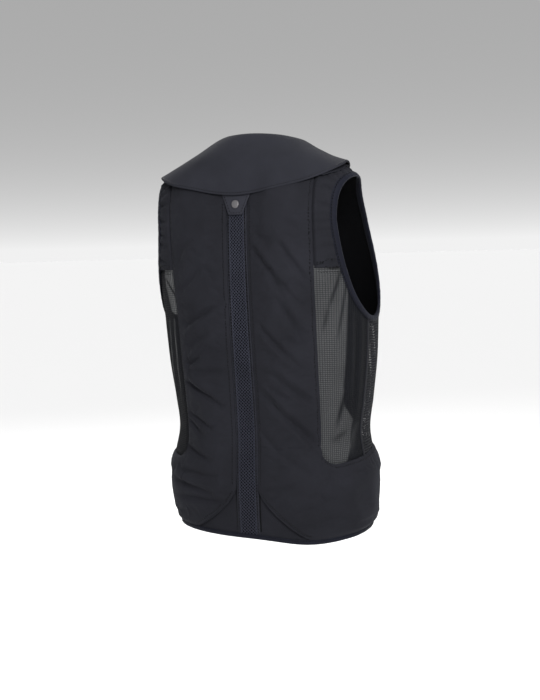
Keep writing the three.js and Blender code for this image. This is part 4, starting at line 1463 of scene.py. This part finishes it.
def collar_lip():
    """The facing under the collar's edge, which hangs open at the right shoulder."""
    columns, rows = LIP_GRID
    turns = np.linspace(*LIP_TURNS, columns)[:, None]
    share = np.linspace(LIP_FROM_SHARE, 1, rows)[None]
    open_by = np.sin(math.pi * unmix(*LIP_TURNS, turns)) * ease(unmix(LIP_FROM_SHARE, 1, share))
    clear = mix(COLLAR_FALL_CLEAR[-1] - COLLAR_THICK / 2, LIP_CLEAR, open_by)
    height = mix(NECK, collar_edge(turns), share)
    return wall(layer(turns, height, clear, clear - LIP_THICK))


def collar():
    skin = join(collar_skin(), collar_lip())
    piece = make_piece("cloth", "collar", skin, COLLAR_SHELL)
    end = COLLAR_END - COLLAR_ROW_SHORT
    turns = np.linspace(-end, end, ROW_POINTS)
    share = np.full(turns.shape, 1 - COLLAR_STITCH / COLLAR_LONG)
    row = collar_surface(turns, share) + collar_normal(turns, share) * COLLAR_THICK
    stitches("collar", piece, [row])


# The tab's rounded edge, and the row of stitches sunk into it.
TAB_STEPS = (1.6, 2.4)
TAB_ROUND = 1.6
TAB_EDGE_DROP = 0.85
TAB_SINK = 0.4
TAB_SINK_AT = 3
TAB_SINK_REACH = 0.9
TAB_ROW_POINTS = 200
TAB_ROW_CORNERS = np.array([(TAB_HALF_TOP - 3, TAB_SHOULDER), (TAB_HALF_FOOT - 2.4, TAB_FOOT + 3)])


def collar_tab():
    across, up = TAB_STEPS
    rows = mix(TAB_FOOT, TAB_TOP, shares(TAB_TOP - TAB_FOOT, up, end=False))[None]
    half = mix(TAB_HALF_FOOT, TAB_HALF_TOP, unmix(TAB_FOOT, TAB_SHOULDER, rows))
    x = mix(-1, 1, shares(2 * TAB_HALF_FOOT, across)[:, None]) * half
    away = np.minimum(half - np.abs(x), rows - TAB_FOOT)
    round_off = TAB_THICK / 2 * rounded(away, TAB_ROUND, TAB_EDGE_DROP)
    sink = TAB_SINK * bell((away - TAB_SINK_AT) / TAB_SINK_REACH)
    middle = TAB_INNER + TAB_THICK / 2
    skin = wall(layer(on_back(x, rows), rows, middle + round_off - sink, middle - round_off))
    # Its lighter cloth carries painted light against the collar's shadow.
    piece = make_piece("cloth", "collar_tab", skin, TAB_SHELL_WITH_LIGHT)
    outline = np.concatenate([TAB_ROW_CORNERS, TAB_ROW_CORNERS[::-1] * (-1, 1)])
    at = np.linspace(0, len(outline) - 1, TAB_ROW_POINTS)
    x, rows = (np.interp(at, np.arange(len(outline)), outline[:, axis]) for axis in range(2))
    row = above(on_back(x, rows), rows, np.full(x.shape, TAB_INNER + TAB_THICK))
    thread = stitches("collar_tab", piece, [row])


# Snap cap: radius and rise of each ring, from its middle to its foot.
SNAP_PROFILE = ((2.2, 2.45), (3.4, 2.3), (3.9, 2.05), (4.4, 2.25), (5.3, 2.1), (6.1, 1.5),
                (6.5, 0.8), (6.5, 0.2), (6, 0))
SNAP_TOP = 2.5
SNAP_CLEAR = 0.3
SNAP_SIDES = 48


def snap_button():
    turn = np.linspace(0, 2 * math.pi, SNAP_SIDES, endpoint=False)[:, None]
    seat = above(np.array(0.0), np.array(SNAP_HEIGHT), TAB_INNER + TAB_THICK + SNAP_CLEAR)
    up = torso_normal(np.array(0.0), np.array(SNAP_HEIGHT))
    right = np.array((1.0, 0, 0))
    over = np.cross(up, right)
    circle = np.cos(turn) * right + np.sin(turn) * over
    rings = [seat + radius * circle + up * rise for radius, rise in SNAP_PROFILE]
    points = np.concatenate([*rings, [seat + up * SNAP_TOP]])
    here = np.arange(SNAP_SIDES)
    onward = (here + 1) % SNAP_SIDES
    faces = [[len(points) - 1, a, b] for a, b in zip(here, onward)]
    for ring in range(len(rings) - 1):
        low, high = ring * SNAP_SIDES, (ring + 1) * SNAP_SIDES
        faces += [[low + a, high + a, high + b, low + b] for a, b in zip(here, onward)]
    last = (len(rings) - 1) * SNAP_SIDES
    faces.append(list(range(last + SNAP_SIDES - 1, last - 1, -1)))
    make_piece("turned", "snap_button", (points, faces, points[:, :2]), SNAP_METAL)


# Camera, light and floor.
CAMERA_TURN = 24.18 * DEGREE
CAMERA_AWAY = 2.0
CAMERA_HEIGHT = -0.129
CAMERA_PITCH = 5.12 * DEGREE
CAMERA_YAW = 0.107 * DEGREE
CAMERA_ROLL = 1.48 * DEGREE
CAMERA_LENS = 61.1
SENSOR_WIDTH = 36
CAMERA_CLIP = 300
FLOOR_HEIGHT = -0.95
FLOOR_REACH = 80
FLOOR_SIDES = 96
FLOOR_SHADER = {"Base Color": (0.82, 0.82, 0.82, 1), "Roughness": 0.9, "Specular IOR Level": 0}
VEST_MIDDLE = (0, 0, -0.28)
OVERHEAD_POWER = 2.2
OVERHEAD_SPREAD = 70 * DEGREE
AREA_LIGHTS = (
    ("key", (-0.85, 1.2, 0.36), (0.5, 0.5), 30),
    ("back_fill", (1.2, 2.4, 0.2), (1.4, 1.6), 1),
    ("front_key", (1.2, -1.6, 1.5), (0.8, 0.8), 50),
    ("front_fill", (-2.0, -1.6, 0.3), (1.6, 1.8), 6),
)
SKY_FALL = -20
SKY_GLOW = 0.48
SKY_LEVEL = 0.4


def camera():
    data = bpy.data.cameras.new("camera")
    data.lens = CAMERA_LENS
    data.sensor_width = SENSOR_WIDTH
    data.clip_end = CAMERA_CLIP
    eye = place_object("camera", data)
    place = Vector((-CAMERA_AWAY * math.sin(CAMERA_TURN), CAMERA_AWAY * math.cos(CAMERA_TURN), CAMERA_HEIGHT))
    turn = CAMERA_TURN + CAMERA_YAW
    level = math.cos(CAMERA_PITCH)
    ahead = Vector((math.sin(turn) * level, -math.cos(turn) * level, -math.sin(CAMERA_PITCH)))
    aim = ahead.to_track_quat("-Z", "Y").to_matrix().to_4x4()
    eye.matrix_world = Matrix.Translation(place) @ aim @ Matrix.Rotation(-CAMERA_ROLL, 4, "Z")
    bpy.context.scene.camera = eye


def area_light(name, place, size, power):
    data = bpy.data.lights.new(name, "AREA")
    data.shape = "RECTANGLE"
    data.size, data.size_y = size
    data.energy = power
    lamp = place_object(name, data)
    lamp.location = place
    lamp.visible_camera = False
    lamp.rotation_euler = (Vector(VEST_MIDDLE) - Vector(place)).to_track_quat("-Z", "Y").to_euler()


def floor():
    mesh = bpy.data.meshes.new("floor")
    turns = [2 * math.pi * k / FLOOR_SIDES for k in range(FLOOR_SIDES)]
    ring = [(FLOOR_REACH * math.cos(t), FLOOR_REACH * math.sin(t), FLOOR_HEIGHT) for t in turns]
    mesh.from_pydata(ring, [], [list(range(FLOOR_SIDES))])
    piece = place_object("floor", mesh)
    material, graph, shader = new_material("pale_floor")
    graph.feed(shader, FLOOR_SHADER)
    mesh.materials.append(material)


def overhead_light():
    """Soft light straight from above, which also lights the floor far away."""
    data = bpy.data.lights.new("overhead", "SUN")
    data.energy = OVERHEAD_POWER
    data.angle = OVERHEAD_SPREAD
    place_object("overhead", data)


def studio():
    """Soft light all round, with a key behind the wearer's right, and a backdrop that is grey high up."""
    floor()
    overhead_light()
    for light in AREA_LIGHTS:
        area_light(*light)
    world = bpy.data.worlds.new("studio")
    bpy.context.scene.world = world
    world.use_nodes = True
    graph = Graph(world.node_tree)
    split = graph.add("SeparateXYZ", {0: graph.add("TexCoord").outputs["Generated"]})
    fall = graph.add("MapRange", {"Value": split.outputs["Z"], "To Max": SKY_FALL})
    glow = graph.math("EXPONENT", fall.outputs[0])
    sky = graph.math("MULTIPLY_ADD", glow, SKY_GLOW, SKY_LEVEL)
    graph.feed(graph.nodes["Background"], {"Color": sky})
    bpy.context.scene.view_settings.view_transform = "Standard"


SIDES = (("left", 1), ("right", -1))

camera()
studio()
for word, side in SIDES:
    back_panel(word, side)
    hem_panel(word, side)
    shoulder_panel(word, side)
    side_panel(word, side)
    front_panel(word, side)
spine_strip()
front_zip()
hem_binding()
collar()
collar_tab()
snap_button()
